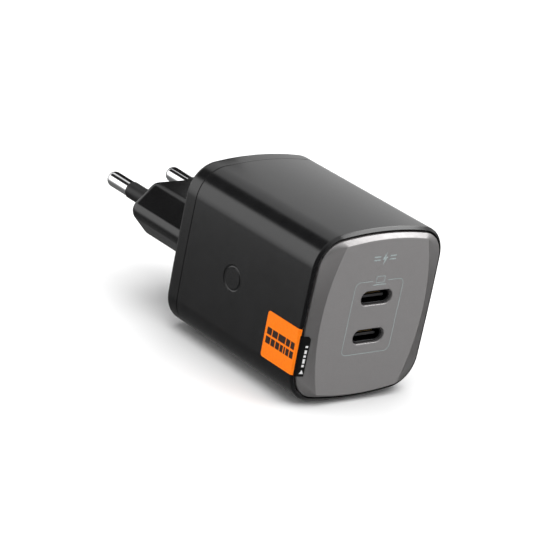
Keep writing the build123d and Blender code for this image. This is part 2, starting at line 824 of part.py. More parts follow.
# Boxed filter capacitor across the mains.
with BuildPart() as x_capacitor:
    with BuildSketch(Plane.XY.offset(main_board_top)):
        with Locations((x_capacitor_x, -main_board_start - x_capacitor_setback)):
            Rectangle(x_capacitor_size[0], x_capacitor_size[1])
    extrude(amount=x_capacitor_size[2])
    fillet(x_capacitor.edges().filter_by(Axis.Z), radius=x_capacitor_edge)
x_capacitor.part.label = "x_capacitor"
export_step(x_capacitor.part, "parts/x_capacitor.step")

fuse_plane = Plane(
    origin=(
        edge_part_x,
        -main_board_start - fuse_setback,
        main_board_top + fuse_lift + fuse_diameter / 2,
    ),
    x_dir=(1, 0, 0),
    z_dir=(0, -1, 0),
)

# Ceramic fuse body.
with BuildPart() as fuse_body:
    with BuildSketch(fuse_plane):
        Circle(fuse_diameter / 2 - fuse_cap_wall)
    extrude(amount=fuse_length / 2, both=True)
fuse_body.part.label = "fuse_body"
export_step(fuse_body.part, "parts/fuse_body.step")

# Metal end caps of the fuse.
with BuildPart() as fuse_caps:
    for direction in (-1, 1):
        with BuildSketch(fuse_plane.offset(direction * fuse_length / 2)):
            Circle(fuse_diameter / 2)
            Circle(fuse_diameter / 2 - fuse_cap_wall, mode=Mode.SUBTRACT)
        extrude(amount=-direction * fuse_cap)
fuse_caps.part.label = "fuse_caps"
export_step(fuse_caps.part, "parts/fuse_caps.step")

# Disc varistor beside the transformer.
with BuildPart() as varistor:
    with BuildSketch(Plane.YZ.offset(edge_part_x)):
        with Locations((-main_board_start - varistor_setback, disc_z)):
            Circle(disc_diameter / 2)
    extrude(amount=varistor_thickness / 2, both=True)
    fillet(varistor.edges(), radius=disc_edge)
varistor.part.label = "varistor"
export_step(varistor.part, "parts/varistor.step")

# Disc safety capacitor between the mains side and the output side.
with BuildPart() as y_capacitor:
    with BuildSketch(Plane.YZ.offset(-edge_part_x)):
        with Locations((-core_depth, disc_z)):
            Circle(disc_diameter / 2)
    extrude(amount=y_capacitor_thickness / 2, both=True)
    fillet(y_capacitor.edges(), radius=disc_edge)
y_capacitor.part.label = "y_capacitor"
export_step(y_capacitor.part, "parts/y_capacitor.step")

# ---------------------------------------------------------------- capacitors

for number, bulk_place in enumerate(bulk_places, start=1):
    # Electrolytic capacitor can, with the rolled groove near its sealed end.
    with BuildPart() as bulk_capacitor:
        with BuildSketch(across(bulk_start)):
            with Locations(bulk_place):
                Circle(bulk_diameter / 2)
        extrude(amount=bulk_length)
        fillet(bulk_capacitor.faces().sort_by(Axis.Y)[-1].edges(), radius=can_edge)
        with BuildSketch(across(bulk_start + bulk_length - 3 * bung_thickness)):
            with Locations(bulk_place):
                Circle(bulk_diameter / 2)
                Circle(bulk_diameter / 2 - bulk_groove, mode=Mode.SUBTRACT)
        extrude(amount=bung_thickness, mode=Mode.SUBTRACT)
    bulk_capacitor.part.label = "bulk_capacitor_" + str(number)
    export_step(bulk_capacitor.part, "parts/bulk_capacitor_" + str(number) + ".step")

# Rubber bungs that seal the cans.
with BuildPart() as capacitor_bungs:
    with BuildSketch(across(bulk_start + bulk_length)):
        with Locations(*bulk_places):
            Circle(bung_diameter / 2)
    extrude(amount=bung_thickness)
capacitor_bungs.part.label = "capacitor_bungs"
export_step(capacitor_bungs.part, "parts/capacitor_bungs.step")

# Bent wire leads of the bulk capacitors, into the upper board.
with BuildPart() as capacitor_leads:
    for bulk_x, lead_z in bulk_places:
        for lead_x in (bulk_x - lead_spacing / 2, bulk_x + lead_spacing / 2):
            with BuildSketch(Plane.YZ.offset(lead_x)):
                with BuildLine():
                    FilletPolyline(
                        (-lead_depth + lead_run, lead_z),
                        (-lead_depth, lead_z),
                        (-lead_depth, upper_board_top - upper_board_thickness - lead_diameter),
                        radius=lead_bend,
                    )
                trace(line_width=lead_diameter)
            extrude(amount=lead_diameter / 2, both=True)
capacitor_leads.part.label = "capacitor_leads"
export_step(capacitor_leads.part, "parts/capacitor_leads.step")

# Polymer capacitors on the back of the output board.
with BuildPart() as output_capacitors:
    with BuildSketch(across(output_board_back)):
        with Locations(
            (-output_capacitor_x, output_capacitor_z), (output_capacitor_x, output_capacitor_z)
        ):
            Circle(output_capacitor_diameter / 2)
    extrude(amount=-output_capacitor_length)
    fillet(output_capacitors.faces().group_by(Axis.Y)[-1].edges(), radius=can_edge)
output_capacitors.part.label = "output_capacitors"
export_step(output_capacitors.part, "parts/output_capacitors.step")

# ---------------------------------------------------------------- chips and small parts

# Bridge rectifier under the main board.
with BuildPart() as bridge_rectifier:
    with BuildSketch(Plane.XY.offset(main_board_bottom)):
        with Locations((bridge_x, -main_board_start - bridge_setback)):
            Rectangle(bridge_size[0], bridge_size[1])
    extrude(amount=-bridge_size[2])
    chamfer(bridge_rectifier.faces().sort_by(Axis.Z)[0].edges(), length=bridge_edge)
bridge_rectifier.part.label = "bridge_rectifier"
export_step(bridge_rectifier.part, "parts/bridge_rectifier.step")

power_switch_place = (power_switch_x, power_switch_clearance - main_board_end)
lining_bottom = -body_height / 2 + insulation_inset + insulation_thickness

# Power switch under the main board.
with BuildPart() as power_switch:
    with BuildSketch(Plane.XY.offset(main_board_bottom)):
        with Locations(power_switch_place):
            Rectangle(power_switch_size[0], power_switch_size[1])
    extrude(amount=-power_switch_size[2])
power_switch.part.label = "power_switch"
export_step(power_switch.part, "parts/power_switch.step")

# Thermal pad that carries the power switch's heat to the lining.
with BuildPart() as thermal_pad:
    with BuildSketch(Plane.XY.offset(lining_bottom + thermal_pad_gap)):
        with Locations(power_switch_place):
            Rectangle(power_switch_size[0], power_switch_size[1])
    extrude(amount=main_board_bottom - power_switch_size[2] - lining_bottom - thermal_pad_gap)
thermal_pad.part.label = "thermal_pad"
export_step(thermal_pad.part, "parts/thermal_pad.step")

# Optocoupler that bridges the mains side and the output side.
with BuildPart() as optocoupler:
    with BuildSketch(Plane.XY.offset(main_board_bottom)):
        with Locations((coupler_x, coupler_clearance - main_board_end)):
            Rectangle(coupler_size[0], coupler_size[1])
    extrude(amount=-coupler_size[2])
optocoupler.part.label = "optocoupler"
export_step(optocoupler.part, "parts/optocoupler.step")

# Primary controller on the control board.
with BuildPart() as primary_controller:
    with BuildSketch(Plane.YZ.offset(control_board_x - control_board_thickness / 2)):
        with Locations((-control_board_start - controller_setback, controller_z)):
            Rectangle(controller_size[0], controller_size[1])
    extrude(amount=-controller_size[2])
primary_controller.part.label = "primary_controller"
export_step(primary_controller.part, "parts/primary_controller.step")

# Synchronous rectifier on the back of the output board.
with BuildPart() as rectifier_switch:
    with BuildSketch(across(output_board_back)):
        with Locations((0, sync_switch_z)):
            Rectangle(sync_switch_size[0], sync_switch_size[1])
    extrude(amount=-sync_switch_size[2])
rectifier_switch.part.label = "rectifier_switch"
export_step(rectifier_switch.part, "parts/rectifier_switch.step")

# One port controller for each port, on the back of the output board.
with BuildPart() as port_controllers:
    with BuildSketch(across(output_board_back)):
        with Locations((-port_chip_x, port_chip_z), (port_chip_x, port_chip_z)):
            Rectangle(port_chip_size[0], port_chip_size[1])
    extrude(amount=-port_chip_size[2])
port_controllers.part.label = "port_controllers"
export_step(port_controllers.part, "parts/port_controllers.step")

# Chip resistors and capacitors on the output board and under the main board.
with BuildPart() as small_parts:
    with BuildSketch(across(output_board_front)):
        with Locations((-small_part_x, 0), (small_part_x, 0)):
            with GridLocations(*small_part_pitch, 2, small_part_rows):
                Rectangle(small_part_size[0], small_part_size[1])
    extrude(amount=small_part_size[2])
    with BuildSketch(Plane.XY.offset(main_board_bottom)):
        with Locations((under_part_x, under_part_clearance - main_board_end)):
            with GridLocations(*under_part_pitch, 3, 3):
                Rectangle(small_part_size[0], small_part_size[1])
    extrude(amount=-small_part_size[2])
small_parts.part.label = "small_parts"
export_step(small_parts.part, "parts/small_parts.step")
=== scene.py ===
"""Two-port USB wall charger: each piece's shape and finish, and the stage it is shown on."""

import json
import math
from collections import namedtuple

import bmesh
import bpy
from mathutils import Euler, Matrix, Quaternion, Vector

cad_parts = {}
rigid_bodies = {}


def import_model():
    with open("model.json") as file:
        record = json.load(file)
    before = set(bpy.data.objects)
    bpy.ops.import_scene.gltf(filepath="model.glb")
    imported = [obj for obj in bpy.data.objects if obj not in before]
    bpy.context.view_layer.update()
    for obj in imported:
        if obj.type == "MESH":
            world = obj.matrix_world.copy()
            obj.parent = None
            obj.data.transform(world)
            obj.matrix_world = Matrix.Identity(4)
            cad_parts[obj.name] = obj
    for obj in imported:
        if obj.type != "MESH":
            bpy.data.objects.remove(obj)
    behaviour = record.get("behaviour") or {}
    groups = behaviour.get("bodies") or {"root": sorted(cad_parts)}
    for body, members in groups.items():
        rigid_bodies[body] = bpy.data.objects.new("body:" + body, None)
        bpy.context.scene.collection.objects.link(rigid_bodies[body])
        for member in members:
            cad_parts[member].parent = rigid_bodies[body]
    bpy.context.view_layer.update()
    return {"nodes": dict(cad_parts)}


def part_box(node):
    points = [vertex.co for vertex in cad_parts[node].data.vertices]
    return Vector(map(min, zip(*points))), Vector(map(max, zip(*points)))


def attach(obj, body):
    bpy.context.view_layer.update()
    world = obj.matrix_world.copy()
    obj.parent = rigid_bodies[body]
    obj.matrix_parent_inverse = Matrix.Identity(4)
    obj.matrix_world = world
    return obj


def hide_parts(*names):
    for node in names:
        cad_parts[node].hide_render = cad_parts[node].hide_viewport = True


bpy.ops.object.select_all(action="SELECT")
bpy.ops.object.delete()
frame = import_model()

bl_info = {
    "name": "USB wall charger",
    "version": (1, 0, 0),
    "blender": (4, 5, 0),
    "location": "3D View > Sidebar > Charger",
    "description": "Models a two-port wall charger, its finishes and a plain stage",
    "category": "Object",
}

MM = 0.001
TINY = 0.005 * MM
INK = 0.02 * MM
NEAR_END = 0.1 * MM

shell_low, shell_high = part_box("main_shell")
cover_low, cover_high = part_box("rear_cover")
panel_low, panel_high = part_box("front_panel")
pin_low, pin_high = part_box("plug_pin_right")
sleeve_low, sleeve_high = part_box("pin_sleeve_right")
port_low, port_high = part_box("usb_receptacle_upper")
tongue_low, tongue_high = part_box("usb_tongue_upper")
contact_low, contact_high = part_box("usb_contacts_upper")
label_low, label_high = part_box("side_label")
tab_low, tab_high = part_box("label_tab")


# ---------------------------------------------------------------- sizes and colours


def length(name, description, default):
    """A size in metres."""
    return bpy.props.FloatProperty(
        name=name, description=description, default=default, min=0.0, precision=5, unit="LENGTH"
    )


def angle(name, description, degrees):
    """An angle, given here in degrees."""
    return bpy.props.FloatProperty(
        name=name, description=description, default=math.radians(degrees), subtype="ANGLE"
    )


def colour(name, description, default):
    """A scene-linear colour."""
    return bpy.props.FloatVectorProperty(
        name=name, description=description, default=default, size=3, min=0.0, max=1.0, subtype="COLOR"
    )


class ChargerSizes(bpy.types.PropertyGroup):
    """Sizes of the outer pieces. A depth is measured from the plug's end face to the front."""

    body_height: length("Body height", "Height at the middle", shell_high.z - shell_low.z)
    body_width: length("Body width", "Width at the middle", -2 * shell_low.x)
    side_crown: length("Side crown", "Rise of each side towards its middle", 0.35 * MM)
    top_crown: length("Top crown", "Rise of top and bottom towards the middle", 2.2 * MM)
    corner_radius: length("Corner radius", "Radius of the long corners", 8.0 * MM)
    shell_wall: length("Shell wall", "Wall of the tubular shell", 1.8 * MM)
    seam: length("Seam depth", "Where the shell meets the rear cover", -shell_high.y)
    seam_chamfer: length("Seam chamfer", "Soft edge on both sides of the seam", 0.12 * MM)
    seam_gap: length("Seam gap", "Hairline gap between shell and cap", 0.15 * MM)
    rim: length("Rim depth", "Where the shell's front rim ends", -shell_low.y)
    rim_slope: length("Rim slope", "Width and depth of the front rim's slope", 0.65 * MM)
    cover_back: length("Cover depth", "Rear face of the cap", 22.0 * MM)
    cover_floor: length("Cover floor", "Thickness of the cap's rear wall", 2.0 * MM)
    cover_radius: length("Cover radius", "Rounding of the cap's rear edge", 1.5 * MM)
    lip_end: length("Lip depth", "Where the cap's lip ends inside the shell", -cover_low.y)
    lip_wall: length("Lip wall", "Thickness of the lip and the panel's skirt", 1.2 * MM)
    slip: length("Slip", "Gap between pieces that slide together", 0.1 * MM)
    plug_width: length("Plug width", "Width of the plug block", 35.3 * MM)
    plug_height: length("Plug height", "Height of the plug block", 13.7 * MM)
    plug_nose: length("Plug nose", "Flat left at each side of the hexagon", 2.5 * MM)
    plug_edge: length("Plug edge radius", "Rounding of the block's long edges", 2.8 * MM)
    plug_end: length("Plug end radius", "Rounding round the block's end face", 2.6 * MM)
    plug_wall: length("Plug wall", "Wall of the hollow plug block", 1.8 * MM)
    plug_end_wall: length("Plug end wall", "Wall that holds the pins", 4.0 * MM)
    panel_inset: length("Panel inset", "From the shell's side to the panel's edge", 1.2 * MM)
    panel_groove: length("Panel groove", "Gap between rim and panel", 0.5 * MM)
    panel_land: length("Panel land", "Length of the rebate that seats the panel", 1.9 * MM)
    panel_wall: length("Panel wall", "Wall of the panel", 1.8 * MM)
    panel_bevel: length("Panel bevel", "How far the flat stands ahead of the edge", 1.3 * MM)
    panel_edge: length("Panel edge", "Softness of the panel's edges", 0.14 * MM)
    flat_width: length("Flat width", "Width of the flat front", 31.7 * MM)
    flat_height: length("Flat height", "Height of the flat front", 38.9 * MM)
    flat_side_bulge: length("Flat side bulge", "Rise of the flat's side edges", 3.3 * MM)
    flat_top_bulge: length("Flat top bulge", "Rise of the flat's upper and lower edges", 1.0 * MM)
    flat_corner: length("Flat corner radius", "Rounding of the flat's corners", 1.0 * MM)
    skirt_end: length("Skirt depth", "Where the panel's skirt starts", -panel_high.y)
    front: length("Front depth", "The flat front, under its print", -panel_low.y - INK)
    opening_width: length("Opening width", "Width of a port's opening", 9.4 * MM)
    opening_height: length("Opening height", "Height of a port's opening", 3.5 * MM)
    opening_radius: length("Opening radius", "Rounding of the opening's mouth", 0.3 * MM)
    pin_length: length("Pin length", "Reach of a pin from the end face", pin_high.y)
    pin_radius: length("Pin radius", "Radius of the bare pin", 2.0 * MM)
    tip_radius: length("Tip radius", "Rounding of a pin's tip", 1.9 * MM)
    shank_radius: length("Shank radius", "Radius of the pin under its sleeve", 1.6 * MM)
    sleeve_radius: length("Sleeve radius", "Radius of an insulating sleeve", 2.2 * MM)
    sleeve_length: length("Sleeve length", "Sleeved length of a pin", sleeve_high.y)
    mark_radius: length("Mark radius", "Middle of the round mark's line", 2.9 * MM)
    mark_line: length("Mark line", "Radius of the round mark's groove", 0.45 * MM)
    label_thickness: length("Label thickness", "Thickness of label and tab", 0.09 * MM)
    label_corner: length("Label corner", "Rounding of the label's corners", 0.7 * MM)
    label_wrap: bpy.props.FloatProperty(
        name="Label wrap", description="Share of the rim's slope under the label", default=0.85
    )
    tab_reach: length("Tab reach", "How far the tab reaches in from the side", 2.75 * MM)
    ink: length("Ink thickness", "Thickness of the printed marks", INK)


class ChargerColours(bpy.types.PropertyGroup):
    """Colours of the outer pieces."""

    shell: colour("Shell", "Satin moulded shell", (0.0075, 0.0075, 0.0078))
    cover: colour("Cover", "Rear cap and plug block", (0.0065, 0.0065, 0.0067))
    panel: colour("Panel", "Metallic front panel", (0.3, 0.291, 0.291))
    label: colour("Label", "Printed label", (1.0, 0.2, 0.002))
    label_ink: colour("Label ink", "Dark print on the label", (0.03, 0.012, 0.006))
    tab: colour("Tab", "Dark tab of the label", (0.004, 0.004, 0.004))
    tab_ink: colour("Tab ink", "Light marks on the tab", (0.75, 0.75, 0.75))
    panel_ink: colour("Panel ink", "Print on the front panel", (0.33, 0.385, 0.385))
    metal: colour("Pins", "Nickel-plated pins", (0.86, 0.86, 0.87))


class StageSettings(bpy.types.PropertyGroup):
    """Camera, floor and lights."""

    azimuth: angle("Azimuth", "Where the camera stands round the charger", -43.35)
    elevation: angle("Elevation", "How high the camera stands", 20.37)
    roll: angle("Roll", "Turn of the camera about its own axis", 11.63)
    distance: length("Distance", "From the camera to its target", 643.74 * MM)
    target: bpy.props.FloatVectorProperty(
        name="Target",
        description="Point the camera looks at",
        default=(3.76 * MM, -33.19 * MM, -6.16 * MM),
        subtype="TRANSLATION",
        unit="LENGTH",
    )
    lens: bpy.props.FloatProperty(
        name="Lens", description="Focal length on a 36 mm sensor", default=174.37, unit="CAMERA"
    )
    floor_size: length("Floor size", "Side of the square floor", 12.0)
    sky_low: bpy.props.FloatProperty(
        name="Horizon light", description="Brightness of the surroundings near eye level", default=0.8
    )
    sky_high: bpy.props.FloatProperty(
        name="Overhead light", description="Brightness of the surroundings overhead", default=0.9
    )
    sky_below: bpy.props.FloatProperty(
        name="Light from below", description="Brightness of the surroundings below", default=0.3
    )


# ---------------------------------------------------------------- modelling helpers


Arc = namedtuple("Arc", "x z radius start end steps")


def deselect():
    """Deselect every object."""
    bpy.ops.object.select_all(action="DESELECT")


def edit():
    """Enter edit mode."""
    bpy.ops.object.mode_set(mode="EDIT")


def select_mesh():
    """Select the whole mesh in edit mode."""
    bpy.ops.mesh.select_all(action="SELECT")


def face_outwards():
    """Turn every face of the mesh in edit mode outwards."""
    select_mesh()
    bpy.ops.mesh.normals_make_consistent(inside=False)


def edited():
    """The mesh in edit mode."""
    return bmesh.from_edit_mesh(bpy.context.edit_object.data)


def choose(kind, test):
    """Select the verts, edges or faces in edit mode that pass the test."""
    bpy.ops.mesh.select_mode(type={"verts": "VERT", "edges": "EDGE", "faces": "FACE"}[kind])
    bpy.ops.mesh.select_all(action="DESELECT")
    mesh = edited()
    for part in getattr(mesh, kind):
        if test(part):
            part.select_set(True)
    mesh.select_flush_mode()
    bmesh.update_edit_mesh(bpy.context.edit_object.data)


def middle(part):
    """Middle of an edge's or a face's corners."""
    return sum((corner.co for corner in part.verts), Vector()) / len(part.verts)


def near(place):
    """Test for the vertices at a place."""
    return lambda vertex: (vertex.co - place).length < TINY


def at_depth(depth):
    """Test for the edges and faces that lie wholly at a depth."""
    return lambda part: all(abs(corner.co.y + depth) < TINY for corner in part.verts)


def open_edge_at(depth):
    """Test for the open boundary edges at a depth."""
    lies = at_depth(depth)
    return lambda edge: edge.is_boundary and lies(edge)


def tidy_mesh(close_gap=TINY):
    """Merge doubled vertices and turn every face outwards."""
    bpy.ops.mesh.select_mode(type="VERT")
    select_mesh()
    bpy.ops.mesh.remove_doubles(threshold=close_gap)
    face_outwards()


def start_point(place):
    """A new mesh of one vertex at a place, in edit mode."""
    deselect()
    bpy.ops.mesh.primitive_plane_add(size=MM, enter_editmode=True)
    bpy.ops.mesh.select_mode(type="VERT")
    select_mesh()
    bpy.ops.mesh.merge(type="CENTER")
    bpy.ops.transform.translate(value=place)


def draw_chain(points, closed=False):
    """Extrude a vertex from point to point, and join the ends if the chain is closed."""
    start_point(points[0])
    for here, there in zip(points, points[1:]):
        bpy.ops.mesh.extrude_vertices_move(TRANSFORM_OT_translate={"value": there - here})
    if closed:
        choose("verts", lambda v: near(points[0])(v) or near(points[-1])(v))
        bpy.ops.mesh.edge_face_add()


def on_arc(arc, turn, inset=0.0, depth=0.0):
    """Point beside an arc, moved in by inset and forward by depth."""
    reach = arc.radius - inset
    return Vector((arc.x + reach * math.cos(turn), -depth, arc.z + reach * math.sin(turn)))


def spin_round(arc):
    """Spin what is selected round one arc."""
    bpy.ops.mesh.spin(
        steps=arc.steps, angle=arc.end - arc.start, center=(arc.x, 0, arc.z), axis=(0, 1, 0)
    )


def sweep(section, path, rounds=(), closed=True, whole=True):
    """Draw a section of (inset, depth) points and spin it round the arcs of a path.

    rounds lists (index, radius, segments) of the section's rounded corners. Where two arcs don't
    meet, the section is extruded straight from one to the next.
    """
    first = path[0]
    points = [on_arc(first, first.start, inset, depth) for inset, depth in section]
    draw_chain(points, closed)
    for index, radius, segments in rounds:
        choose("verts", near(points[index]))
        bpy.ops.mesh.bevel(offset=radius, segments=segments, affect="VERTICES")
    select_mesh()
    for index, arc in enumerate(path):
        spin_round(arc)
        following = path[(index + 1) % len(path)]
        gap = on_arc(following, following.start) - on_arc(arc, arc.end)
        if whole and gap.length > TINY:
            bpy.ops.mesh.extrude_edges_move(TRANSFORM_OT_translate={"value": gap})
    tidy_mesh()


def fill(test):
    """Close the loop of edges that pass the test with one face."""
    choose("edges", test)
    bpy.ops.mesh.edge_face_add()


def crowned_path(width, height, side_rise, top_rise, corner, steps):
    """Eight arcs of a rectangle with bulging sides: side, corner and top, from the right side."""
    half_width, half_height = width / 2, height / 2
    side_radius = ((half_height - top_rise) ** 2 + side_rise**2) / (2 * side_rise)
    top_radius = ((half_width - side_rise) ** 2 + top_rise**2) / (2 * top_rise)
    side_x, top_z = half_width - side_radius, half_height - top_radius
    toward = Vector((side_x, -top_z)).normalized()
    span = math.hypot(side_x, top_z)
    near_top, near_side = top_radius - corner, side_radius - corner
    along = (span**2 + near_top**2 - near_side**2) / (2 * span)
    beside = math.sqrt(near_top**2 - along**2)
    corner_x = toward.x * along + toward.y * beside
    corner_z = top_z + toward.y * along - toward.x * beside
    low = math.atan2(corner_z, corner_x - side_x)
    high = math.atan2(corner_z - top_z, corner_x)
    side_steps, corner_steps, top_steps = steps
    path = []
    for turn, side in ((0.0, 1), (math.pi, -1)):
        begin, end = (low, high) if side > 0 else (math.pi + low, math.pi + high)
        path += [
            Arc(side * side_x, 0.0, side_radius, turn - low, turn + low, side_steps),
            Arc(side * corner_x, side * corner_z, corner, begin, end, corner_steps),
            Arc(0.0, side * top_z, top_radius, end, turn + math.pi - high, top_steps),
            Arc(
                -side * corner_x,
                side * corner_z,
                corner,
                turn + math.pi - high,
                turn + math.pi - low,
                corner_steps,
            ),
        ]
    return path


def body_path(sizes):
    """The body's outline, shared by the shell, the cap and the panel's edge."""
    return crowned_path(
        sizes.body_width,
        sizes.body_height,
        sizes.side_crown,
        sizes.top_crown,
        sizes.corner_radius,
        BODY_STEPS,
    )


def left_strip(sizes, low, high, steps):
    """The stretch of the body's left side between two heights, as one arc."""
    side = body_path(sizes)[4]
    return [
        side._replace(
            start=math.pi - math.asin(high / side.radius),
            end=math.pi - math.asin(low / side.radius),
            steps=steps,
        )
    ]


def circle_path(x, z, radius, steps):
    """A whole turn about an axis along the charger's length."""
    return [Arc(x, z, radius, 0.0, 2 * math.pi, steps)]


def slot_path(x, z, width, height, steps):
    """Two half turns joined by straights: the outline of a port."""
    shift, radius = (width - height) / 2, height / 2
    return [
        Arc(x + shift, z, radius, -math.pi / 2, math.pi / 2, steps),
        Arc(x - shift, z, radius, math.pi / 2, 3 * math.pi / 2, steps),
    ]


BODY_STEPS = (10, 18, 28)
SMOOTH_ANGLE = math.radians(30)


def named(name):
    """Leave edit mode, name the piece and put its place into its mesh."""
    if bpy.context.mode == "EDIT_MESH":
        bpy.ops.object.mode_set(mode="OBJECT")
    piece = bpy.context.object
    piece.name = piece.data.name = name
    bpy.ops.object.transform_apply(location=True, rotation=True, scale=True)
    return piece


def alone(piece):
    """Select one piece and make it active."""
    deselect()
    piece.select_set(True)
    bpy.context.view_layer.objects.active = piece


def modify(piece, kind, **settings):
    """Add a modifier and apply it."""
    alone(piece)
    bpy.ops.object.modifier_add(type=kind)
    modifier = piece.modifiers[-1]
    for key, value in settings.items():
        setattr(modifier, key, value)
    bpy.ops.object.modifier_apply(modifier=modifier.name)


def combine(piece, tool, operation):
    """Cut a tool out of a piece, or join it to the piece, and throw the tool away."""
    modify(piece, "BOOLEAN", operation=operation, object=tool, solver="EXACT")
    alone(tool)
    bpy.ops.object.delete()


def joined(pieces, name):
    """Join pieces into one."""
    deselect()
    for piece in pieces:
        piece.select_set(True)
    bpy.context.view_layer.objects.active = pieces[0]
    bpy.ops.object.join()
    return named(name)


def copied(piece, name, shift):
    """A copy with its own mesh, moved by shift."""
    alone(piece)
    bpy.ops.object.duplicate(linked=False)
    bpy.ops.transform.translate(value=shift)
    return named(name)


def settle(piece, finish, stands_for=(), sharp=SMOOTH_ANGLE):
    """Shade the piece, give it its finish and fix it to the charger's body."""
    alone(piece)
    bpy.ops.object.shade_smooth_by_angle(angle=sharp)
    modify(piece, "WEIGHTED_NORMAL", keep_sharp=True, weight=60)
    piece.data.materials.clear()
    piece.data.materials.append(finish)
    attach(piece, "root")
    if stands_for:
        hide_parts(*stands_for)


def cube(size, place):
    """A box of a size at a place, in edit mode."""
    deselect()
    bpy.ops.mesh.primitive_cube_add(size=1.0, location=place, scale=size)
    bpy.ops.object.transform_apply(location=True, rotation=True, scale=True)
    edit()


def runs_along(axis):
    """Test for the edges parallel to an axis."""

    def test(edge):
        run = edge.verts[1].co - edge.verts[0].co
        return all(abs(run[other]) < TINY for other in range(3) if other != axis)

    return test


# ---------------------------------------------------------------- finishes


class Finish:
    """A Principled material whose patterns read the piece's object coordinates."""

    def __init__(self, name, metallic=0.0, roughness=0.5, specular=0.5, coat=0.0):
        self.material = bpy.data.materials.new(name)
        self.material.use_nodes = True
        self.tree = self.material.node_tree
        self.shader = self.tree.nodes["Principled BSDF"]
        self.shader.inputs["Metallic"].default_value = metallic
        self.shader.inputs["Roughness"].default_value = roughness
        self.shader.inputs["Specular IOR Level"].default_value = specular
        self.shader.inputs["Coat Weight"].default_value = coat
        self.place = self.tree.nodes.new("ShaderNodeTexCoord").outputs["Object"]

    def node(self, kind, inputs=(), **settings):
        """Add a node; inputs are (socket, value or output) pairs."""
        node = self.tree.nodes.new("ShaderNode" + kind)
        for key, value in settings.items():
            setattr(node, key, value)
        for socket, value in inputs:
            if isinstance(value, bpy.types.NodeSocket):
                self.tree.links.new(value, node.inputs[socket])
            else:
                node.inputs[socket].default_value = value
        return node

    def stretched(self, scale):
        """Object coordinates scaled along each axis."""
        return self.node("Mapping", (("Vector", self.place), ("Scale", scale))).outputs["Vector"]

    def noise(self, scale, detail=2.0, place=None):
        """Cloudy pattern, with scale in features per metre."""
        inputs = (("Vector", place or self.place), ("Scale", scale), ("Detail", detail))
        return self.node("TexNoise", inputs).outputs["Fac"]

    def cells(self, scale, place=None):
        """Cell pattern, for grains and weaves."""
        inputs = (("Vector", place or self.place), ("Scale", scale))
        return self.node("TexVoronoi", inputs).outputs["Distance"]

    def bands(self, scale, direction, place=None):
        """Parallel bands square to an axis."""
        inputs = (("Vector", place or self.place), ("Scale", scale), ("Distortion", 0.4))
        node = self.node("TexWave", inputs, bands_direction=direction)
        return node.outputs["Fac"]

    def between(self, pattern, low, high, start=0.3, end=0.7):
        """Number that runs from low to high as the pattern rises from start to end."""
        inputs = (
            ("Value", pattern),
            ("From Min", start),
            ("From Max", end),
            ("To Min", low),
            ("To Max", high),
        )
        return self.node("MapRange", inputs).outputs["Result"]

    def ramp(self, pattern, stops):
        """Colour that follows the pattern through (position, colour) stops."""
        node = self.node("ValToRGB", (("Fac", pattern),))
        elements = node.color_ramp.elements
        for index, (position, shade) in enumerate(stops):
            element = elements[index] if index < 2 else elements.new(position)
            element.position = position
            element.color = (*shade, 1.0)
        return node.outputs["Color"]

    def paint(self, output):
        """Drive the base colour."""
        self.tree.links.new(output, self.shader.inputs["Base Color"])

    def polish(self, output):
        """Drive the roughness."""
        self.tree.links.new(output, self.shader.inputs["Roughness"])

    def bump(self, pattern, distance, strength=0.5):
        """Raise the surface where the pattern is high."""
        inputs = (("Height", pattern), ("Distance", distance), ("Strength", strength))
        normal = self.node("Bump", inputs).outputs["Normal"]
        self.tree.links.new(normal, self.shader.inputs["Normal"])


def shade(base, factor):
    """A colour made lighter or darker."""
    return tuple(min(1.0, channel * factor) for channel in base)


def moulded_plastic(name, base, low, high, specular, grain):
    """Moulded plastic: faint mottling, uneven gloss and a fine spark-eroded grain."""
    finish = Finish(name, specular=specular)
    mottle = finish.noise(260.0, 4.0)
    finish.paint(finish.ramp(mottle, ((0.3, shade(base, 0.85)), (0.7, shade(base, 1.15)))))
    finish.polish(finish.between(finish.noise(90.0, 3.0), low, high))
    finish.bump(finish.noise(9000.0, 2.0), grain)
    return finish.material


def metallic_panel(base):
    """Fine metallic lacquer with a vertical brush and a slight sparkle."""
    finish = Finish("Panel lacquer", metallic=0.75)
    sparkle = finish.cells(14000.0)
    finish.paint(finish.ramp(sparkle, ((0.1, shade(base, 1.12)), (0.8, shade(base, 0.92)))))
    finish.polish(finish.between(finish.noise(700.0, 3.0), 0.34, 0.42))
    finish.bump(finish.noise(12000.0), 0.004 * MM)
    return finish.material


def plated_metal(name, base, low, high, lengthwise=True):
    """Bright plating with fine scratches along the piece."""
    finish = Finish(name, metallic=1.0)
    drawn = finish.stretched((1.0, 0.05, 1.0)) if lengthwise else finish.place
    scratch = finish.noise(5000.0, 3.0, drawn)
    finish.paint(finish.ramp(scratch, ((0.3, shade(base, 0.93)), (0.7, base))))
    finish.polish(finish.between(scratch, low, high))
    finish.bump(scratch, 0.002 * MM, 0.3)
    return finish.material


def label_film(base):
    """Printed film: an even colour over a faint fibre."""
    finish = Finish("Label film", roughness=0.5, specular=0.12)
    fibre = finish.noise(1800.0, 4.0)
    finish.paint(finish.ramp(fibre, ((0.3, shade(base, 0.93)), (0.7, shade(base, 1.08)))))
    finish.polish(finish.between(finish.noise(500.0), 0.42, 0.55))
    finish.bump(fibre, 0.003 * MM, 0.3)
    return finish.material


def printing_ink(name, base):
    """Screen-printed ink with slightly uneven cover."""
    finish = Finish(name, specular=0.3)
    cover = finish.noise(3500.0, 3.0)
    finish.paint(finish.ramp(cover, ((0.3, shade(base, 0.88)), (0.65, base))))
    finish.polish(finish.between(cover, 0.5, 0.62))
    return finish.material


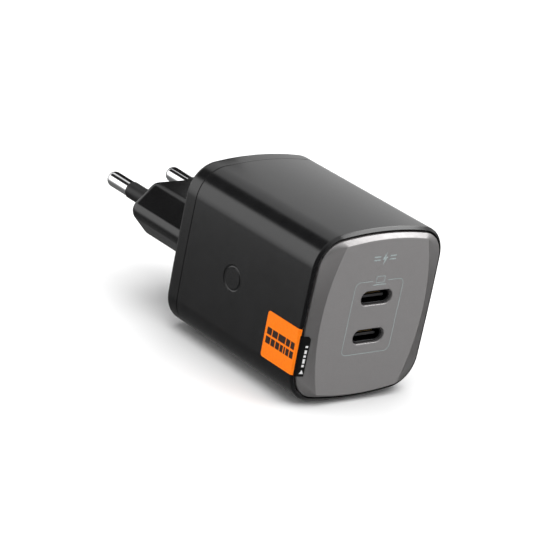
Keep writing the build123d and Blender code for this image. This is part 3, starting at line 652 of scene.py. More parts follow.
def solder_mask():
    """Circuit board: green mask over a fine glass weave with lighter copper tracks."""
    finish = Finish("Solder mask", specular=0.5)
    tracks = finish.bands(380.0, "X", finish.stretched((1.0, 0.4, 0.7)))
    greens = ((0.45, (0.008, 0.06, 0.025)), (0.55, (0.02, 0.13, 0.05)))
    finish.paint(finish.ramp(tracks, greens))
    finish.polish(finish.between(finish.noise(800.0), 0.25, 0.4))
    finish.bump(tracks, 0.02 * MM, 0.4)
    return finish.material


def wound_wire(name, base, pitch):
    """Enamelled wire laid in close turns."""
    finish = Finish(name, metallic=0.85)
    turns = finish.bands(pitch, "Z")
    finish.paint(finish.ramp(turns, ((0.05, shade(base, 0.35)), (0.45, base))))
    finish.polish(finish.between(finish.noise(1500.0), 0.25, 0.4))
    finish.bump(turns, 0.08 * MM, 0.8)
    return finish.material


def sintered(name, base, rough):
    """Pressed and fired powder: small grains and dull edges."""
    finish = Finish(name, specular=0.3)
    grain = finish.cells(4500.0)
    finish.paint(finish.ramp(grain, ((0.1, shade(base, 1.4)), (0.7, shade(base, 0.8)))))
    finish.polish(finish.between(finish.noise(900.0), rough, rough + 0.15))
    finish.bump(grain, 0.015 * MM, 0.6)
    return finish.material


def wrapped_film(name, base, pitch, direction="Z"):
    """Thin film or tape, with the faint ridges of its turns."""
    finish = Finish(name, specular=0.5)
    ridges = finish.bands(pitch, direction)
    finish.paint(finish.ramp(ridges, ((0.1, shade(base, 0.8)), (0.6, base))))
    finish.polish(finish.between(finish.noise(900.0), 0.3, 0.45))
    finish.bump(ridges, 0.02 * MM, 0.4)
    return finish.material


def rolled_sheet(name, base, rough):
    """Rolled sheet metal with lines along the rolling direction."""
    finish = Finish(name, metallic=1.0)
    lines = finish.noise(2200.0, 4.0, finish.stretched((1.0, 0.03, 1.0)))
    finish.paint(finish.ramp(lines, ((0.3, shade(base, 0.85)), (0.7, base))))
    finish.polish(finish.between(lines, rough, rough + 0.15))
    finish.bump(lines, 0.004 * MM, 0.4)
    return finish.material


def soft_compound(name, base, rough):
    """Rubber, gap filler or lacquer: matt, with slow swells and pores."""
    finish = Finish(name, specular=0.35)
    pores = finish.noise(2400.0, 5.0)
    finish.paint(finish.ramp(pores, ((0.3, shade(base, 0.8)), (0.7, shade(base, 1.15)))))
    finish.polish(finish.between(finish.noise(600.0), rough, rough + 0.12))
    finish.bump(pores, 0.03 * MM, 0.5)
    return finish.material


INNER_FINISHES = {
    "board_green": solder_mask,
    "copper": lambda: wound_wire("Copper winding", (0.72, 0.27, 0.1), 1500.0),
    "ferrite": lambda: sintered("Ferrite", (0.03, 0.03, 0.033), 0.55),
    "bobbin_plastic": lambda: soft_compound("Bobbin plastic", (0.02, 0.02, 0.022), 0.4),
    "tape_yellow": lambda: wrapped_film("Transformer tape", (0.75, 0.52, 0.04), 900.0),
    "film_amber": lambda: wrapped_film("Amber film", (0.5, 0.17, 0.02), 300.0, "Y"),
    "spreader_aluminium": lambda: rolled_sheet("Rolled aluminium", (0.72, 0.73, 0.74), 0.3),
    "strip_bronze": lambda: rolled_sheet("Bronze strip", (0.7, 0.42, 0.2), 0.25),
    "wire_tin": lambda: rolled_sheet("Tinned wire", (0.7, 0.69, 0.66), 0.22),
    "pad_grey": lambda: soft_compound("Thermal pad", (0.28, 0.3, 0.33), 0.6),
    "bung_rubber": lambda: soft_compound("Bung rubber", (0.015, 0.015, 0.015), 0.7),
    "capacitor_sleeve": lambda: wrapped_film("Capacitor sleeve", (0.015, 0.03, 0.07), 250.0, "Y"),
    "capacitor_can": lambda: rolled_sheet("Capacitor can", (0.75, 0.75, 0.76), 0.2),
    "box_yellow": lambda: soft_compound("Boxed capacitor", (0.7, 0.45, 0.03), 0.35),
    "disc_blue": lambda: soft_compound("Disc lacquer", (0.01, 0.08, 0.33), 0.3),
    "fuse_ceramic": lambda: sintered("Fuse ceramic", (0.7, 0.68, 0.62), 0.35),
    "chip_black": lambda: sintered("Chip compound", (0.018, 0.018, 0.019), 0.5),
    "chip_tan": lambda: sintered("Chip ceramic", (0.36, 0.25, 0.15), 0.4),
}


def dress(*names):
    """Give carried-over CAD pieces their finish, one material for each slot."""
    for name in names:
        for slot in frame["nodes"][name].material_slots:
            kind = slot.material.name
            if kind in INNER_FINISHES:
                ready = bpy.data.materials.get("inner_" + kind)
                if ready is None:
                    ready = INNER_FINISHES[kind]()
                    ready.name = "inner_" + kind
                slot.material = ready


# ---------------------------------------------------------------- outer pieces


class ChargerOperator:
    """What the operators share: settings of the scene they work on."""

    bl_options = {"REGISTER", "UNDO"}

    def settings(self, context):
        """Sizes and colours of the charger."""
        return context.scene.charger_sizes, context.scene.charger_colours


class CHARGER_OT_shell(ChargerOperator, bpy.types.Operator):
    """Model the tubular shell with its sloped rim, panel rebate and round mark"""

    bl_idname = "charger.shell"
    bl_label = "Shell"

    def execute(self, context):
        sizes, colours = self.settings(context)
        rebate = sizes.panel_inset - sizes.panel_groove
        seat = sizes.rim - sizes.panel_land
        start = sizes.seam + sizes.seam_gap
        section = (
            (0.0, start),
            (0.0, sizes.rim - sizes.rim_slope),
            (sizes.rim_slope, sizes.rim),
            (rebate, sizes.rim),
            (rebate, seat),
            (sizes.shell_wall, seat),
            (sizes.shell_wall, start),
        )
        rim_edge = 0.12 * MM
        rounds = ((0, sizes.seam_chamfer, 2), (1, rim_edge, 4))
        sweep(section, body_path(sizes), rounds)
        shell = named("shell_case")
        self.press_mark(shell, sizes)
        finish = moulded_plastic("Shell plastic", colours.shell, 0.15, 0.19, 0.5, 0.0006 * MM)
        settle(shell, finish, ("main_shell",))
        return {"FINISHED"}

    def press_mark(self, shell, sizes):
        """Press the shallow ring into the left side."""
        mark_depth, groove_depth = 44.4 * MM, 0.25 * MM
        deselect()
        bpy.ops.mesh.primitive_torus_add(
            major_radius=sizes.mark_radius,
            minor_radius=sizes.mark_line,
            major_segments=72,
            minor_segments=20,
            location=(
                groove_depth - sizes.mark_line - sizes.body_width / 2,
                -mark_depth,
                0.0,
            ),
            rotation=(0.0, math.pi / 2, 0.0),
        )
        combine(shell, named("mark_tool"), "DIFFERENCE")


def plug_prism(sizes, inset, back, front, end_radius):
    """Flattened hexagon with rounded edges, from one depth to another."""
    width, height = sizes.plug_width - 2 * inset, sizes.plug_height - 2 * inset
    nose = sizes.plug_nose - 2 * inset * (math.sqrt(2) - 1)
    cube((width, front - back, height), (0.0, -(front + back) / 2, 0.0))
    choose("edges", runs_along(1))
    bpy.ops.mesh.bevel(offset=(height - nose) / 2, segments=1, affect="EDGES")
    choose("edges", runs_along(1))
    softened = (sizes.plug_edge - inset) * math.tan(math.pi / 8)
    bpy.ops.mesh.bevel(offset=softened, segments=8, affect="EDGES")
    if end_radius:
        choose("edges", at_depth(back))
        bpy.ops.mesh.bevel(offset=end_radius, segments=8, affect="EDGES")
    tidy_mesh(TINY / 5)


class CHARGER_OT_cover(ChargerOperator, bpy.types.Operator):
    """Model the rear cap with its lip, and the hollow plug block that stands out of it"""

    bl_idname = "charger.cover"
    bl_label = "Rear cover"

    def execute(self, context):
        sizes, colours = self.settings(context)
        lip = sizes.shell_wall + sizes.slip
        floor_depth = sizes.cover_back + sizes.cover_floor
        section = (
            (lip + sizes.lip_wall, sizes.cover_back),
            (0.0, sizes.cover_back),
            (0.0, sizes.seam),
            (lip, sizes.seam),
            (lip, sizes.lip_end),
            (lip + sizes.lip_wall, sizes.lip_end),
            (lip + sizes.lip_wall, floor_depth),
        )
        rounds = ((1, sizes.cover_radius, 8), (2, sizes.seam_chamfer, 2))
        sweep(section, body_path(sizes), rounds, closed=False)
        fill(open_edge_at(sizes.cover_back))
        fill(open_edge_at(floor_depth))
        tidy_mesh()
        cover = named("cap_and_plug")
        plug_prism(sizes, 0.0, 0.0, floor_depth - MM, sizes.plug_end)
        combine(cover, named("plug_tool"), "UNION")
        plug_prism(sizes, sizes.plug_wall, sizes.plug_end_wall, floor_depth + MM, 0.0)
        combine(cover, named("hollow_tool"), "DIFFERENCE")
        self.bore_seats(cover, sizes)
        finish = moulded_plastic("Cover plastic", colours.cover, 0.16, 0.2, 0.5, 0.0006 * MM)
        settle(cover, finish, ("rear_cover",))
        return {"FINISHED"}

    def bore_seats(self, cover, sizes):
        """Bore the stepped seats of the pins and sleeves through the end wall."""
        seat = 2.0 * MM
        play = 0.01 * MM
        step = sizes.sleeve_radius - sizes.shank_radius
        section = (
            (sizes.sleeve_radius + play, -MM),
            (0.0, -MM),
            (0.0, seat),
            (step, seat),
            (step, sizes.plug_end_wall + MM),
            (sizes.sleeve_radius + play, sizes.plug_end_wall + MM),
        )
        for x in (-pin_centre(), pin_centre()):
            path = circle_path(x, 0.0, sizes.sleeve_radius + play, 40)
            sweep(section, path, closed=False)
            combine(cover, named("seat_tool"), "DIFFERENCE")


def pin_centre():
    """Distance of each pin from the middle."""
    return (pin_low.x + pin_high.x) / 2


class CHARGER_OT_panel(ChargerOperator, bpy.types.Operator):
    """Model the front panel: skirt, bevel, flat front and two flared port openings"""

    bl_idname = "charger.panel"
    bl_label = "Front panel"

    def execute(self, context):
        sizes, colours = self.settings(context)
        skirt = sizes.shell_wall + sizes.slip
        seat = sizes.rim - sizes.panel_land
        edge_depth = sizes.front - sizes.panel_bevel
        inner_depth = sizes.front - sizes.panel_wall
        section = (
            (sizes.panel_inset, edge_depth),
            (sizes.panel_inset, seat),
            (skirt, seat),
            (skirt, sizes.skirt_end),
            (skirt + sizes.lip_wall, sizes.skirt_end),
            (skirt + sizes.lip_wall, inner_depth),
        )
        sweep(section, body_path(sizes), closed=False)
        fill(open_edge_at(inner_depth))
        panel = named("front_bezel")
        flat = crowned_path(
            sizes.flat_width,
            sizes.flat_height,
            sizes.flat_side_bulge,
            sizes.flat_top_bulge,
            sizes.flat_corner,
            BODY_STEPS,
        )
        start_point(on_arc(flat[0], flat[0].start, 0.0, sizes.front))
        for arc in flat:
            spin_round(arc)
        tidy_mesh()
        panel = joined([panel, named("flat_outline")], "front_bezel")
        edit()
        on_edge, on_flat = at_depth(edge_depth), at_depth(sizes.front)
        choose("edges", lambda edge: on_edge(edge) or on_flat(edge))
        bpy.ops.mesh.bridge_edge_loops()
        fill(open_edge_at(sizes.front))
        for depth in (edge_depth, sizes.front):
            choose("edges", at_depth(depth))
            bpy.ops.mesh.bevel(offset=sizes.panel_edge, segments=3, affect="EDGES")
        tidy_mesh(TINY / 5)
        panel = named("front_bezel")
        for z in port_heights():
            self.cut_port(panel, sizes, z)
        settle(panel, metallic_panel(colours.panel), ("front_panel",))
        return {"FINISHED"}

    def cut_port(self, panel, sizes, z):
        """Cut one opening, with its mouth rounded outwards."""
        behind, ahead, segments = sizes.front - sizes.panel_wall - MM, sizes.front + MM, 5
        section = [(0.0, behind)]
        for step in range(segments + 1):
            turn = math.pi / 2 * step / segments
            flare = sizes.opening_radius * (1 - math.cos(turn))
            section.append((-flare, sizes.front - sizes.opening_radius * (1 - math.sin(turn))))
        section[-1] = (-sizes.opening_radius, sizes.front + TINY)
        section.append((-sizes.opening_radius, ahead))
        path = slot_path(0.0, z, sizes.opening_width, sizes.opening_height, 20)
        sweep(section, path, closed=False)
        fill(open_edge_at(behind))
        fill(open_edge_at(ahead))
        tidy_mesh()
        combine(panel, named("port_tool"), "DIFFERENCE")


def port_heights():
    """Heights of the upper and the lower port."""
    upper = (tongue_low.z + tongue_high.z) / 2
    return (upper, -upper)


class CHARGER_OT_pins(ChargerOperator, bpy.types.Operator):
    """Model the two plug pins and the sleeves moulded round them"""

    bl_idname = "charger.pins"
    bl_label = "Pins and sleeves"

    def execute(self, context):
        sizes, colours = self.settings(context)
        metal = plated_metal("Nickel plating", colours.metal, 0.06, 0.13)
        rubber = moulded_plastic("Sleeve plastic", colours.cover, 0.36, 0.46, 0.4, 0.003 * MM)
        shank = sizes.pin_radius - sizes.shank_radius
        shoulder = 0.06 * MM
        section = (
            (sizes.pin_radius, -sizes.pin_length),
            (0.0, -sizes.pin_length),
            (0.0, -sizes.sleeve_length),
            (shank, -sizes.sleeve_length),
            (shank, -pin_low.y),
            (sizes.pin_radius, -pin_low.y),
        )
        rounds = ((1, sizes.tip_radius, 12), (2, shoulder, 2))
        sweep(section, circle_path(-pin_centre(), 0.0, sizes.pin_radius, 56), rounds, closed=False)
        left_pin = named("pin_left")
        wall = sizes.sleeve_radius - sizes.shank_radius
        section = (
            (0.0, -sizes.sleeve_length),
            (0.0, -sleeve_low.y),
            (wall, -sleeve_low.y),
            (wall, -sizes.sleeve_length),
        )
        sweep(
            section,
            circle_path(-pin_centre(), 0.0, sizes.sleeve_radius, 48),
            ((0, 0.2 * MM, 4), (3, 0.1 * MM, 2)),
        )
        left_sleeve = named("sleeve_left")
        across = (2 * pin_centre(), 0.0, 0.0)
        for side, pin, sleeve in (
            ("left", left_pin, left_sleeve),
            ("right", copied(left_pin, "pin_right", across), copied(left_sleeve, "sleeve_right", across)),
        ):
            settle(pin, metal, ("plug_pin_" + side,), math.radians(40))
            settle(sleeve, rubber, ("pin_sleeve_" + side,), math.radians(40))
        return {"FINISHED"}


class CHARGER_OT_ports(ChargerOperator, bpy.types.Operator):
    """Model the two USB-C receptacles with their tongues and contacts"""

    bl_idname = "charger.ports"
    bl_label = "Ports"

    def execute(self, context):
        upper = port_heights()[0]
        drop = (0.0, 0.0, -2 * upper)
        plated = plated_metal("Dark plating", (0.05, 0.05, 0.052), 0.3, 0.42)
        resin = moulded_plastic("Tongue resin", (0.012, 0.012, 0.013), 0.4, 0.5, 0.4, 0.002 * MM)
        # The contacts' gold is darkened far below real gold plating: painted shade for contacts deep
        # inside the ports.
        gold = plated_metal("Gold plating", (0.42, 0.28, 0.11), 0.25, 0.38)
        for upper_piece, slot, finish in (
            (self.receptacle(upper), "port_steel", plated),
            (self.tongue(upper), "tongue_black", resin),
            (self.contacts(upper), "contact_gold", gold),
        ):
            lower_piece = copied(upper_piece, upper_piece.name.replace("upper", "lower"), drop)
            for piece in (upper_piece, lower_piece):
                settle(piece, finish, ("usb_" + piece.name,))
        return {"FINISHED"}

    def receptacle(self, z):
        """Drawn metal shell with a rolled mouth and four solder tabs."""
        wall, mouth, back = 0.3 * MM, -port_low.y, -tongue_high.y
        width, height = 8.94 * MM, 3.26 * MM
        section = ((0.0, back), (0.0, mouth), (wall, mouth), (wall, back))
        roll = 0.13 * MM
        sweep(section, slot_path(0.0, z, width, height, 14), ((1, roll, 3), (2, roll, 3)))
        pieces = [named("tube")]
        tab_size = (1.4 * MM, -port_high.y - back + TINY, wall)
        tab_centre, tab_edge = 2.7 * MM, 0.08 * MM
        for x in (-tab_centre, tab_centre):
            for side in (-1, 1):
                place = (x, -back - tab_size[1] / 2, z + side * (height - wall) / 2)
                cube((tab_size[0], abs(tab_size[1]), tab_size[2]), place)
                choose("edges", runs_along(1))
                bpy.ops.mesh.bevel(offset=tab_edge, segments=2, affect="EDGES")
                pieces.append(named("tab"))
        return joined(pieces, "receptacle_upper")

    def tongue(self, z):
        """Moulded base, the thicker root in front of it, and the tongue."""
        base_front, buried, edge_radius = 63.2 * MM, 0.4 * MM, 0.14 * MM
        width, height = 8.34 * MM, 2.66 * MM
        section = ((0.0, -tongue_high.y), (0.0, base_front))
        sweep(section, slot_path(0.0, z, width, height, 12), closed=False)
        fill(open_edge_at(-tongue_high.y))
        fill(open_edge_at(base_front))
        tidy_mesh()
        tongue = named("base")
        for plate_width, thickness, tip in (
            (7.2 * MM, 1.3 * MM, base_front + 1.2 * MM),
            (6.69 * MM, 0.7 * MM, -tongue_low.y),
        ):
            root = base_front - buried
            cube((plate_width, tip - root, thickness), (0.0, -(tip + root) / 2, z))
            choose("edges", lambda edge: at_depth(tip)(edge) or runs_along(1)(edge))
            bpy.ops.mesh.bevel(offset=edge_radius, segments=3, affect="EDGES")
            combine(tongue, named("plate"), "UNION")
        tongue.name = tongue.data.name = "tongue_upper"
        return tongue

    def contacts(self, z):
        """Two rows of twelve gold fingers, copied from one."""
        pitch, count, width = 0.5 * MM, 12, 0.28 * MM
        rise = (contact_high.z - contact_low.z) / 2
        height, edge_radius = 0.1 * MM, 0.04 * MM
        run = contact_high.y - contact_low.y
        place = (
            -(count - 1) * pitch / 2,
            (contact_high.y + contact_low.y) / 2,
            z + rise - height / 2,
        )
        cube((width, run, height), place)
        choose("edges", at_depth(-contact_low.y))
        bpy.ops.mesh.bevel(offset=edge_radius, segments=2, affect="EDGES")
        finger = named("contacts_upper")
        across = dict(use_relative_offset=False, use_constant_offset=True)
        modify(finger, "ARRAY", count=count, constant_offset_displace=(pitch, 0.0, 0.0), **across)
        down = (0.0, 0.0, height - 2 * rise)
        modify(finger, "ARRAY", count=2, constant_offset_displace=down, **across)
        return finger


# ---------------------------------------------------------------- label and print


def side_patch(sizes, section, low, high, steps=6):
    """A thin patch on the body's left side: a section spun between two heights."""
    path = left_strip(sizes, low, high, steps)
    sweep(section, path, whole=False)
    for turn in (path[0].start, path[0].end):
        height = path[0].z + path[0].radius * math.sin(turn)
        fill(lambda edge: edge.is_boundary and abs(middle(edge).z - height) < NEAR_END)
    tidy_mesh(TINY / 5)


class CHARGER_OT_label(ChargerOperator, bpy.types.Operator):
    """Model the label on the left side, its folded tab and the generic marks on both"""

    bl_idname = "charger.label"
    bl_label = "Label"

    def execute(self, context):
        sizes, colours = self.settings(context)
        side_patch(sizes, self.wrapped_section(sizes), label_low.z, label_high.z)
        choose(
            "edges",
            lambda edge: at_depth(-label_high.y)(edge)
            and not runs_along(2)(edge)
            and abs(edge.verts[0].co.z - edge.verts[1].co.z) < 2 * TINY
            and min(abs(middle(edge).z - z) for z in (label_low.z, label_high.z)) < NEAR_END,
        )
        bpy.ops.mesh.bevel(offset=sizes.label_corner, segments=8, affect="EDGES")
        settle(named("label_sheet"), label_film(colours.label), ("side_label",))
        self.print_rows(sizes, colours)
        self.fold_tab(sizes, colours)
        return {"FINISHED"}

    def wrapped_section(self, sizes):
        """The label's section: flat along the side, then down the slope of the shell's rim."""

        def skin(lift):
            start, run = sizes.rim - sizes.rim_slope, sizes.label_wrap * sizes.rim_slope
            slanted = lift / math.sqrt(2)
            return [
                (-lift, -label_high.y),
                (-lift, start + lift * math.tan(math.pi / 8)),
                (run - slanted, start + run + slanted),
            ]

        return skin(sizes.label_thickness) + skin(0.0)[::-1]

    def print_rows(self, sizes, colours):
        """Two rows of plain dark blocks."""
        pieces = []
        inner, outer = sizes.label_thickness, sizes.label_thickness + sizes.ink
        gap, height = 0.3 * MM, 1.7 * MM
        rear_margin = 0.75 * MM
        for top, blocks in (
            (-5.55 * MM, (1.95, 2.15, 2.8, 1.65, 1.6)),
            (-7.8 * MM, (1.9, 1.65, 1.65, 1.3, 0.8, 1.35, 1.5)),
        ):
            rear = -label_high.y + rear_margin
            for width in blocks:
                front = rear + width * MM - gap
                section = ((-inner, rear), (-outer, rear), (-outer, front), (-inner, front))
                side_patch(sizes, section, top - height, top, 2)
                pieces.append(named("block"))
                rear += width * MM
        rows = joined(pieces, "label_print")
        settle(rows, printing_ink("Label ink", colours.label_ink))

    def tab_line(self, sizes, z):
        """The tab's inner surface at a height: side, rim, groove and bevel."""
        side = body_path(sizes)[4]
        side_x = side.x - math.sqrt(side.radius**2 - z**2)
        bulge = sizes.flat_side_bulge
        half_height = sizes.flat_height / 2 - sizes.flat_top_bulge
        flat_x = bulge - sizes.flat_width / 2 - bulge * (1 - (z / half_height) ** 2)
        lift = sizes.label_thickness + TINY
        edge_x = side_x + sizes.panel_inset
        edge_depth = sizes.front - sizes.panel_bevel
        share = min(1.0, (side_x + sizes.tab_reach - edge_x) / (flat_x - edge_x))
        end = (edge_x + share * (flat_x - edge_x), edge_depth + share * sizes.panel_bevel)
        slope, slanted = sizes.rim_slope, lift / math.sqrt(2)
        tucked = 0.15
        run = (sizes.label_wrap - tucked) * slope
        points = [
            (side_x + run - slanted, sizes.rim - slope + run + slanted),
            (side_x + slope - slanted, sizes.rim + slanted),
            (edge_x - lift / 2, edge_depth + lift / 2),
            (end[0], end[1] + lift / 2),
        ]
        return [Vector((x, -depth, z)) for x, depth in points]

    def fold_tab(self, sizes, colours):
        """Bridge the tab's lines from its lower to its upper end, and thicken the strip."""
        rows, corner_radius, film = 9, 0.9 * MM, 0.05 * MM
        heights = [tab_low.z + (tab_high.z - tab_low.z) * row / (rows - 1) for row in range(rows)]
        lines = []
        for z in heights:
            draw_chain(self.tab_line(sizes, z))
            lines.append(named("tab_line"))
        joined(lines, "label_fold")
        edit()
        for lower, upper in zip(heights, heights[1:]):
            levels = (lower, upper)
            choose(
                "edges",
                lambda edge: min(abs(edge.verts[0].co.z - z) for z in levels) < TINY
                and abs(edge.verts[0].co.z - edge.verts[1].co.z) < TINY,
            )
            bpy.ops.mesh.bridge_edge_loops()
        face_outwards()
        corner = self.tab_line(sizes, tab_high.z)[-1]
        choose("verts", near(corner))
        bpy.ops.mesh.bevel(offset=corner_radius, segments=6, affect="VERTICES")
        fold = named("label_fold")
        normal = sum((face.normal for face in fold.data.polygons), Vector())
        if normal.y > 0:
            edit()
            select_mesh()
            bpy.ops.mesh.flip_normals()
            fold = named("label_fold")
        modify(fold, "SOLIDIFY", thickness=film, offset=1.0)
        tab_film = moulded_plastic("Tab film", colours.tab, 0.38, 0.48, 0.3, 0.002 * MM)
        settle(fold, tab_film, ("label_tab",))
        self.print_tab(fold, sizes, colours)

    def print_tab(self, fold, sizes, colours):
        """Plain light bars and a small triangle on the tab, laid on its bevelled part."""
        pieces = []
        middle_x, ahead, bar_width = -17.85 * MM, panel_low.y - 0.3 * MM, 0.55
        for z, run in ((-5.9, 0.5), (-7.2, 0.9), (-8.3, 0.55), (-9.5, 1.1), (-10.7, 0.6)):
            deselect()
            bpy.ops.mesh.primitive_grid_add(
                x_subdivisions=4,
                y_subdivisions=4,
                size=MM,
                location=(middle_x, ahead, z * MM),
                rotation=(math.pi / 2, 0.0, 0.0),
            )
            bpy.ops.transform.resize(value=(bar_width, 1.0, run))
            pieces.append(named("bar"))
        tip, side = -11.7 * MM, 0.5 * MM
        draw_chain(
            [
                Vector((middle_x - side, ahead, tip - 2 * side)),
                Vector((middle_x + side, ahead, tip - 2 * side)),
                Vector((middle_x, ahead, tip)),
            ],
            closed=True,
        )
        select_mesh()
        bpy.ops.mesh.edge_face_add()
        pieces.append(named("arrow"))
        marks = joined(pieces, "tab_marks")
        modify(
            marks,
            "SHRINKWRAP",
            target=fold,
            wrap_method="PROJECT",
            use_project_x=False,
            use_project_y=True,
            use_project_z=False,
            use_positive_direction=True,
            use_negative_direction=True,
            offset=0.02 * MM,
        )
        edit()
        face_outwards()
        marks = named("tab_marks")
        modify(marks, "SOLIDIFY", thickness=sizes.ink, offset=0.0)
        settle(marks, printing_ink("Tab ink", colours.tab_ink))


def flat_shape(points, sizes, name):
    """A printed shape on the flat front, from its corners (x, z)."""
    draw_chain([Vector((x, -sizes.front, z)) for x, z in points], closed=True)
    select_mesh()
    bpy.ops.mesh.edge_face_add()
    return ink_layer(sizes, name)


def ink_layer(sizes, name):
    """Give the flat shape in edit mode the thickness of ink."""
    select_mesh()
    bpy.ops.mesh.extrude_region_move(TRANSFORM_OT_translate={"value": (0.0, -sizes.ink, 0.0)})
    face_outwards()
    return named(name)


def rounded_frame(sizes, left, right, low, high, corner, line, name, gap=0.0):
    """A printed line round a rounded rectangle, with an optional gap in the middle of its top."""
    deselect()
    bpy.ops.mesh.primitive_plane_add(
        size=right - left,
        location=((left + right) / 2, -sizes.front, (low + high) / 2),
        rotation=(math.pi / 2, 0.0, 0.0),
    )
    bpy.ops.transform.resize(value=(1.0, 1.0, (high - low) / (right - left)))
    bpy.ops.object.transform_apply(location=True, rotation=True, scale=True)
    edit()
    bpy.ops.mesh.select_mode(type="VERT")
    select_mesh()
    bpy.ops.mesh.bevel(offset=corner, segments=8, affect="VERTICES")
    bpy.ops.mesh.select_mode(type="FACE")
    select_mesh()
    bpy.ops.mesh.inset(thickness=line, use_even_offset=True)
    bpy.ops.mesh.delete(type="FACE")
    if gap:
        for x in (-gap / 2, gap / 2):
            select_mesh()
            bpy.ops.mesh.bisect(plane_co=(x, 0.0, 0.0), plane_no=(1.0, 0.0, 0.0))
        top = high - 2 * line
        choose("faces", lambda face: middle(face).z > top and abs(middle(face).x) < gap / 2)
        bpy.ops.mesh.delete(type="FACE")
    return ink_layer(sizes, name)


class CHARGER_OT_print(ChargerOperator, bpy.types.Operator):
    """Print the frame round the ports, the device picture and the power sign on the panel"""

    bl_idname = "charger.panel_print"
    bl_label = "Panel print"

    def execute(self, context):
        sizes, colours = self.settings(context)
        line = 0.15 * MM
        half, low, high = 7.5 * MM, -9.2 * MM, 9.2 * MM
        frame_line = rounded_frame(
            sizes, -half, half, low, high, 1.5 * MM, line, "port_frame", gap=4.7 * MM
        )
        screen = rounded_frame(
            sizes, -1.35 * MM, 1.35 * MM, 8.6 * MM, 10.3 * MM, 0.25 * MM, line, "screen"
        )
        foot = flat_shape(
            [(x * MM, z * MM) for x, z in ((-2.0, 8.05), (2.0, 8.05), (1.8, 8.3), (-1.8, 8.3))],
            sizes,
            "foot",
        )
        bolt = flat_shape(
            [
                (x * MM, z * MM)
                for x, z in (
                    (0.35, 16.3),
                    (-0.85, 14.4),
                    (-0.1, 14.4),
                    (-0.35, 13.0),
                    (0.85, 15.0),
                    (0.1, 15.0),
                )
            ],
            sizes,
            "bolt",
        )
        bars = []
        for side in (-1, 1):
            for z in (14.2, 15.0):
                corners = ((1.4, z), (3.4, z), (3.4, z + 0.32), (1.4, z + 0.32))
                bars.append(flat_shape([(side * x * MM, h * MM) for x, h in corners], sizes, "bar"))
        marks = joined([frame_line, screen, foot, bolt] + bars, "panel_print")
        settle(marks, printing_ink("Panel ink", colours.panel_ink))
        return {"FINISHED"}


# ---------------------------------------------------------------- inner pieces


class CHARGER_OT_boards(bpy.types.Operator):
    """Finish the circuit boards, the parts soldered to them and the pins between them"""

    bl_idname = "charger.boards"
    bl_label = "Boards and chips"

    def execute(self, context):
        dress("main_board", "output_board", "upper_board", "control_board", "board_link_pins")
        dress("bridge_rectifier", "power_switch", "optocoupler", "primary_controller")
        dress("rectifier_switch", "port_controllers", "small_parts")
        return {"FINISHED"}


class CHARGER_OT_transformer(bpy.types.Operator):
    """Finish the transformer's cores, bobbin, winding, tape and pins"""

    bl_idname = "charger.transformer"
    bl_label = "Transformer"

    def execute(self, context):
        dress("transformer_core_lower", "transformer_core_upper", "transformer_bobbin")
        dress("transformer_winding", "transformer_tape", "transformer_pins")
        return {"FINISHED"}


class CHARGER_OT_filter(bpy.types.Operator):
    """Finish the mains contacts, choke, filter capacitors, fuse and varistor"""

    bl_idname = "charger.mains_filter"
    bl_label = "Mains filter"

    def execute(self, context):
        dress("mains_contact_left", "mains_contact_right", "choke_core", "choke_windings")
        dress("choke_base", "x_capacitor", "y_capacitor", "fuse_body", "fuse_caps", "varistor")
        return {"FINISHED"}


class CHARGER_OT_capacitors(bpy.types.Operator):
    """Finish the bulk capacitors, their bungs and leads, and the output capacitors"""

    bl_idname = "charger.capacitors"
    bl_label = "Capacitors"

    def execute(self, context):
        dress("bulk_capacitor_1", "bulk_capacitor_2", "bulk_capacitor_3")
        dress("capacitor_bungs", "capacitor_leads", "output_capacitors")
        return {"FINISHED"}


class CHARGER_OT_linings(bpy.types.Operator):
    """Finish the heat spreader, the insulation sheet and the thermal pad"""

    bl_idname = "charger.linings"
    bl_label = "Linings"

    def execute(self, context):
        dress("heat_spreader", "insulation_sheet", "thermal_pad")
        return {"FINISHED"}


# ---------------------------------------------------------------- stage


# Each light's name, place, size, power and whether it gives the glints alone.
LIGHTS = (
    ("overhead", (0.0, -0.2, 2.2), (3.0, 3.0), 60.0, False),
    ("key", (0.75, -0.05, 0.8), (1.3, 0.42), 8.0, True),
)
LIGHT_TARGET = (0.0, -0.03, 0.0)
CARD_PLACE = (0.0535, 0.1, 0.02)
CARD_WIDTH, CARD_HEIGHT = 0.077, 0.16

# Parts of the sky: direction, the cosines where each begins and is full, and its brightness.
SKY_PARTS = (
    ((-0.7, 0.68, 0.15), 0.87, 0.95, 2.3),
    ((-0.33, 0.68, 0.65), 0.935, 0.985, 0.02),
    ((0.64, -0.7, -0.3), 0.6, 0.95, 2.0),
    ((0.93, 0.0, -0.3), 0.85, 0.97, 0.02),
    ((-0.53, -0.85, 0.0), 0.35, 0.9, 0.08),
)


def aim(thing, place, target):
    """Put a light at a place, facing a target, with its long side along the charger."""
    thing.location = place
    toward = Vector(place) - Vector(target)
    thing.rotation_euler = toward.to_track_quat("Z", "Y").to_euler()


def softbox(name, place, size, power, glossy):
    """A large area light that faces the charger, for the glints alone or for all but them."""
    deselect()
    bpy.ops.object.light_add(type="AREA")
    light = bpy.context.object
    light.name = light.data.name = name
    light.data.shape = "RECTANGLE"
    light.data.size, light.data.size_y = size
    light.data.energy = power
    light.visible_glossy = glossy
    light.visible_diffuse = not glossy
    aim(light, place, LIGHT_TARGET)


